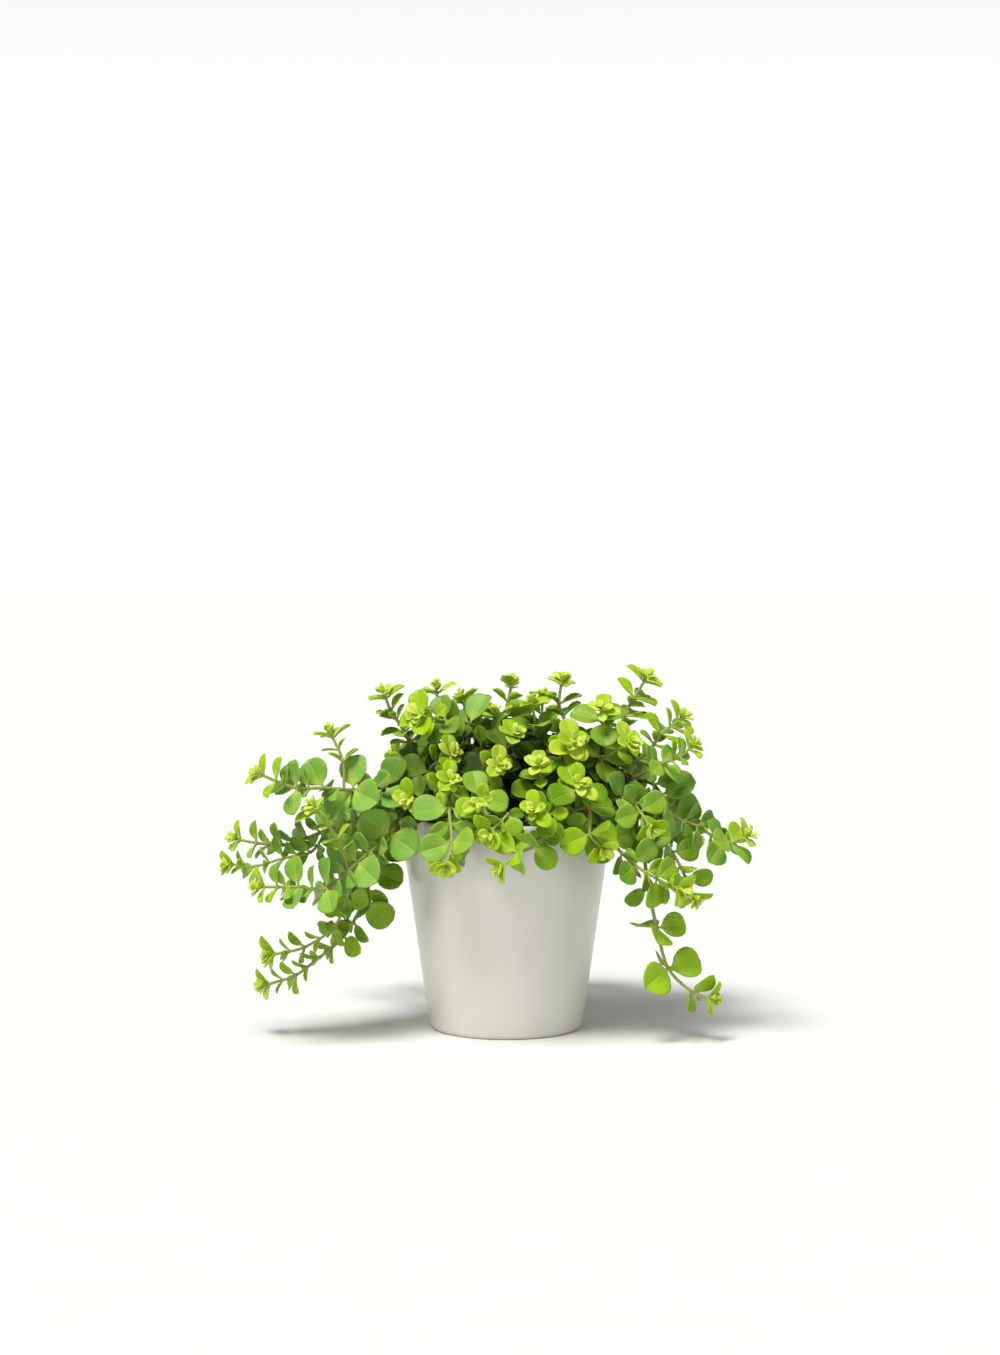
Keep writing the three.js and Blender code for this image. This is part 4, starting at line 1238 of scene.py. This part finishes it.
# What a leaf's place and directions are multiplied by for a number that looks like chance.
CHANCE_FROM = (12.9898, 78.233, 37.719)

# The stalk's points on a span, in number, its knots and the bud at its end, in millimetres.
STOPS_A_SPAN = 5
KNOT_REACH = 1.4
KNOT_SWELL = 0.22
BUD_RISE = 5
BUD_RADIUS = 0.4
STALK_TONE_DRAW = 3

NUMBER_NOTES = (
    "thickness", "is_stalk", "grown", "knot", "tone", "blade_length", "blade_width", "stalk_length", "fold",
    "droop", "ripple", "youth", "age", "bloom", "inner", "small_form",
)
VECTOR_NOTES = ("root", "grows", "faces")


# The plan of one stem: a line of points along each of its routes, and a loose point for each of its leaves.
def stem_plan(name, axes, stem_number):
    points, edges, notes = [], [], []
    stem_tone = draws_for(stem_number, STALK_TONE_DRAW)[0][0]
    bloom = PAINTED_SHEEN.get(STEMS[stem_number]["name"], PLAIN_PAINTED_SHEEN)
    for axis in axes:
        route = axis["route"]
        stops = {i / STOPS_A_SPAN for i in range(route.last * STOPS_A_SPAN + 1)}
        knots = [whorl["position"] for whorl in axis["whorls"] if whorl["position"] < route.last]
        for knot in knots:
            span = np.linalg.norm(route.at(knot + 0.5) - route.at(knot)) * 2
            stops |= {knot - KNOT_REACH / span, knot + KNOT_REACH / span}
        start = len(points)
        for position in sorted(stops):
            swollen = position in knots
            radius = route.radius(position) + (KNOT_SWELL if swollen else 0)
            points.append(route.at(position) * MM)
            notes.append({
                "thickness": radius * MM,
                "is_stalk": 1,
                "grown": mix(axis["from"], 1, position / route.last),
                "knot": float(swollen),
                "tone": stem_tone,
                # Depth in the crown, for the stalk's painted shade.
                "inner": inside_crown(route.at(position)),
            })
        points.append((route.at(route.last) + BUD_RISE * route.along(route.last)) * MM)
        notes.append({**notes[-1], "thickness": BUD_RADIUS * MM})
        edges += [(i, i + 1) for i in range(start, len(points) - 1)]
    for axis in axes:
        for whorl in axis["whorls"]:
            for leaf in [leaf for leaf in whorl["grown"] if leaf.fits] + whorl["small"]:
                points.append(leaf.root * MM)
                notes.append(leaf_notes(leaf, bloom))
    made = mesh_object(name, points, edges, [])
    for key in NUMBER_NOTES:
        note(made.data, key, [noted.get(key, 0) for noted in notes])
    for key in VECTOR_NOTES:
        note(made.data, key, [noted.get(key, (0, 0, 0)) for noted in notes], "FLOAT_VECTOR")
    return made


# How far inside the plant's crown a place is: 0 at its outside, 1 where little light comes. Leaves and
# stalks are darkened by it as painted shade.
def inside_crown(place):
    depth = 1 - np.linalg.norm((place - CROWN_MIDDLE) / CROWN_SIZE)
    return float(np.interp(depth, CROWN_DARKENS, (0, 1)))


def leaf_notes(leaf, bloom):
    young = youngness(leaf.length)
    by_rank = float(np.interp(leaf.rank, YOUTH_RANKS, YOUTH_SHARES))
    by_place, by_side, by_rise = CHANCE_FROM
    chance = (leaf.root[0] * by_place + leaf.axes[0][0] * by_side + leaf.axes[0][2] * by_rise) % 1
    hangs = clamp01((HANGS_BELOW - leaf.root[2]) / HANGS_FULLY) * (1 if leaf.rank > 1 else TIP_AGE)
    # How deep the leaf lies in the crown, for its painted shade.
    inner = inside_crown(leaf.root + leaf.axes[0] * leaf.length * INNER_AT)
    least_ripple, young_ripple = RIPPLE
    return {
        "root": leaf.root * MM,
        "grows": leaf.axes[0],
        "faces": leaf.axes[2],
        "blade_length": leaf.length * MM,
        "blade_width": leaf.width * MM,
        "stalk_length": leaf.stalk * MM,
        "fold": leaf.fold,
        "droop": leaf.droop,
        "ripple": (least_ripple + young_ripple * young) * (chance - 0.5),
        "youth": clamp01(by_rank + YOUTH_BY_LENGTH * (young - 0.5) + YOUTH_VARIED * (chance - 0.5)),
        "age": HANGING_AGE * hangs,
        "inner": inner,
        "tone": chance,
        "bloom": clamp01(bloom + PAINTED_SHEEN_VARIED * (chance - 0.5)) * (1 - inner),
        "small_form": float(leaf.length < SMALL_FORM_BELOW),
    }


# A round form from its profile, a list of radii and heights in millimetres.
def turned(name, profile, sides, finish):
    points, faces = [], []
    for radius, height in profile:
        for i in range(sides):
            angle = 2 * math.pi * i / sides
            points.append((radius * MM * math.cos(angle), radius * MM * math.sin(angle), height * MM))
    for row in range(len(profile) - 1):
        for i in range(sides):
            j = (i + 1) % sides
            low, high = row * sides, (row + 1) * sides
            faces.append((low + i, low + j, high + j, high + i))
    faces.append(tuple(reversed(range(sides))))
    faces.append(tuple((len(profile) - 1) * sides + i for i in range(sides)))
    made = mesh_object(name, points, [], faces)
    made.data.polygons.foreach_set("use_smooth", [len(face) == 4 for face in faces])
    made.data.materials.append(finish)
    return made


# A quarter turn of a rounded corner, from one angle to another, as points of a profile.
def rounded(radius, height, size, start, end, steps):
    angles = [math.radians(mix(start, end, i / steps)) for i in range(steps + 1)]
    return [(radius + size * math.cos(a), height + size * math.sin(a)) for a in angles]


def make_pot(finish):
    inner_rim, inner_foot = RIM_RADIUS - POT_WALL, FOOT_RADIUS - POT_WALL
    profile = [
        *rounded(FOOT_RADIUS - FOOT_ROUND, FOOT_ROUND, FOOT_ROUND, -90, -10, 4),
        *[(pot_radius(z), z) for z in (20, 45, 70, 95)],
        *rounded(RIM_RADIUS - RIM_ROUND, POT_HEIGHT - RIM_ROUND, RIM_ROUND - 0.05, 5, 175, 10),
        (inner_rim, SOIL_EDGE_HEIGHT - SOIL_SHOULDER),
        (inner_foot, POT_FLOOR + FOOT_ROUND),
        (inner_foot - FOOT_ROUND, POT_FLOOR),
    ]
    return turned("ceramic_pot", profile, POT_SIDES, finish)


CRUMB_SIZES = {"Crumbs to a square metre": 260000.0, "Smallest crumb": 0.0006, "Largest crumb": 0.0017}
CRUMB_FACES_UP = 0.5
CRUMB_WIDTH = 0.8
CRUMB_HEIGHT = 0.6
CRUMB_TURNS = (6.3, 6.3, 6.3)


def soil_tree():
    inputs = {
        "Mound": "Geometry",
        **dict.fromkeys(CRUMB_SIZES, "Float"),
        "Seed": "Int",
        "Soil finish": "Material",
    }
    board, given = new_tree("crumbly soil", inputs, "Soil")
    mound, seed = given["Mound"], given["Seed"]
    up = board.out("ShaderNodeSeparateXYZ", None, {0: board.out("GeometryNodeInputNormal")}, output=2)
    sockets = {
        "Mesh": mound,
        "Selection": board.math("GREATER_THAN", up, CRUMB_FACES_UP),
        "Density": given["Crumbs to a square metre"],
        "Seed": seed,
    }
    points = board.out("GeometryNodeDistributePointsOnFaces", None, sockets, output="Points")
    crumb = board.out("GeometryNodeMeshIcoSphere", None, {"Radius": 1.0, "Subdivisions": 1})
    sockets = {2: 0.0, 3: 1.0, "Seed": seed}
    share = board.out("FunctionNodeRandomValue", {"data_type": "FLOAT"}, sockets, output=1)
    sockets = {0: (0.0, 0.0, 0.0), 1: CRUMB_TURNS, "Seed": seed}
    spin = board.out("FunctionNodeRandomValue", {"data_type": "FLOAT_VECTOR"}, sockets)
    low, high = given["Smallest crumb"], given["Largest crumb"]
    size = low + (high - low) * share**3
    flat = board.out("ShaderNodeCombineXYZ", None, {0: size, 1: size * CRUMB_WIDTH, 2: size * CRUMB_HEIGHT})
    sockets = {"Points": points, "Instance": crumb, "Rotation": spin, "Scale": flat}
    crumbs = board.out("GeometryNodeInstanceOnPoints", None, sockets)
    whole = board.out("GeometryNodeRealizeInstances", None, {0: joined(board, crumbs, mound)})
    sockets = {"Geometry": whole, "Material": given["Soil finish"]}
    whole = board.out("GeometryNodeSetMaterial", None, sockets)
    board.node("NodeGroupOutput", None, {"Soil": whole})
    return board.tree


def make_soil(finish):
    edge = RIM_RADIUS - POT_WALL - SEAT_GAP
    profile = [
        (FOOT_RADIUS - POT_WALL - SEAT_GAP, POT_FLOOR + SEAT_GAP),
        (edge, SOIL_EDGE_HEIGHT - SOIL_SHOULDER),
        (edge, SOIL_EDGE_HEIGHT),
    ]
    for ring in range(1, SOIL_RINGS):
        radius = edge * (1 - ring / SOIL_RINGS)
        profile.append((radius, soil_height(radius)))
    made = turned("potting_soil", profile, SOIL_SIDES, finish)
    values = {**CRUMB_SIZES, "Seed": 7, "Soil finish": finish}
    return grown_by(soil_tree(), values, made)


# The studio.


KEY_STRENGTH = 3.8
KEY_SOFTNESS = math.radians(24)
KEY_COLOUR = (1.0, 0.985, 0.95)
KEY_TURN = (math.radians(22), math.radians(-14), 0)
# The air is white low down, for a plain pale ground, and dim above these heights of a sphere of 1.
AIR_DIMS = (0.12, 0.55)
AIR_LOW = (1, 1, 1, 1)
AIR_HIGH = (0.22, 0.225, 0.23, 1)
FLOOR_REACH = 8
FILM_SIZE = 36


def make_studio():
    scene = bpy.context.scene
    corner_signs = ((-1, -1), (1, -1), (1, 1), (-1, 1))
    floor_corners = [(FLOOR_REACH * x, FLOOR_REACH * y, 0) for x, y in corner_signs]
    floor = mesh_object("floor", floor_corners, [], [(0, 1, 2, 3)])
    floor.data.materials.append(pale_floor())
    key = bpy.data.lights.new("soft key", "SUN")
    key.angle = KEY_SOFTNESS
    key.energy = KEY_STRENGTH
    key.color = KEY_COLOUR
    lamp = bpy.data.objects.new("soft key", key)
    lamp.rotation_euler = KEY_TURN
    scene.collection.objects.link(lamp)
    world = bpy.data.worlds.new("studio air")
    world.use_nodes = True
    air = Board(world.node_tree)
    place = air.out("ShaderNodeTexCoord")
    height = air.out("ShaderNodeSeparateXYZ", None, {0: place}, output=2)
    sky = air.blend(air.smooth(height, *AIR_DIMS), AIR_LOW, AIR_HIGH)
    air.plug(world.node_tree.nodes["Background"].inputs["Color"], sky)
    scene.world = world
    scene.view_settings.view_transform = "Standard"
    view = bpy.data.cameras.new("front view")
    view.lens = FILM_SIZE * FOCAL_PIXELS / PHOTO_SIZE[1]
    view.sensor_width = FILM_SIZE
    camera = bpy.data.objects.new("front view", view)
    camera.location = EYE * MM
    camera.rotation_euler = (math.pi / 2 - EYE_TILT, 0, 0)
    scene.collection.objects.link(camera)
    scene.camera = camera


# The whole.


def make_plant():
    plants, stalks, whorls, leaves = grow()
    add_small_leaves(plants, stalks, whorls, leaves)
    large = leaf_form("large leaf form", LARGE_SHARES, LARGE_SIDES)
    small = leaf_form("small leaf form", SMALL_SHARES, SMALL_SIDES)
    tree, values = leafy_stem_tree(large, small, leaf_skin(), stalk_skin())
    for number, (made, axes) in enumerate(zip(STEMS, plants)):
        piece = stem_plan(made["name"].replace("stem_", "leafy_"), axes, number)
        grown_by(tree, values, piece)
        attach(piece, "root")
        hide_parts(made["name"])
    for form in (large, small):
        bpy.data.objects.remove(form)


def make_vessel():
    for piece, node in ((make_pot(glaze()), "pot"), (make_soil(potting_soil()), "soil")):
        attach(piece, "root")
        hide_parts(node)


make_studio()
make_vessel()
make_plant()
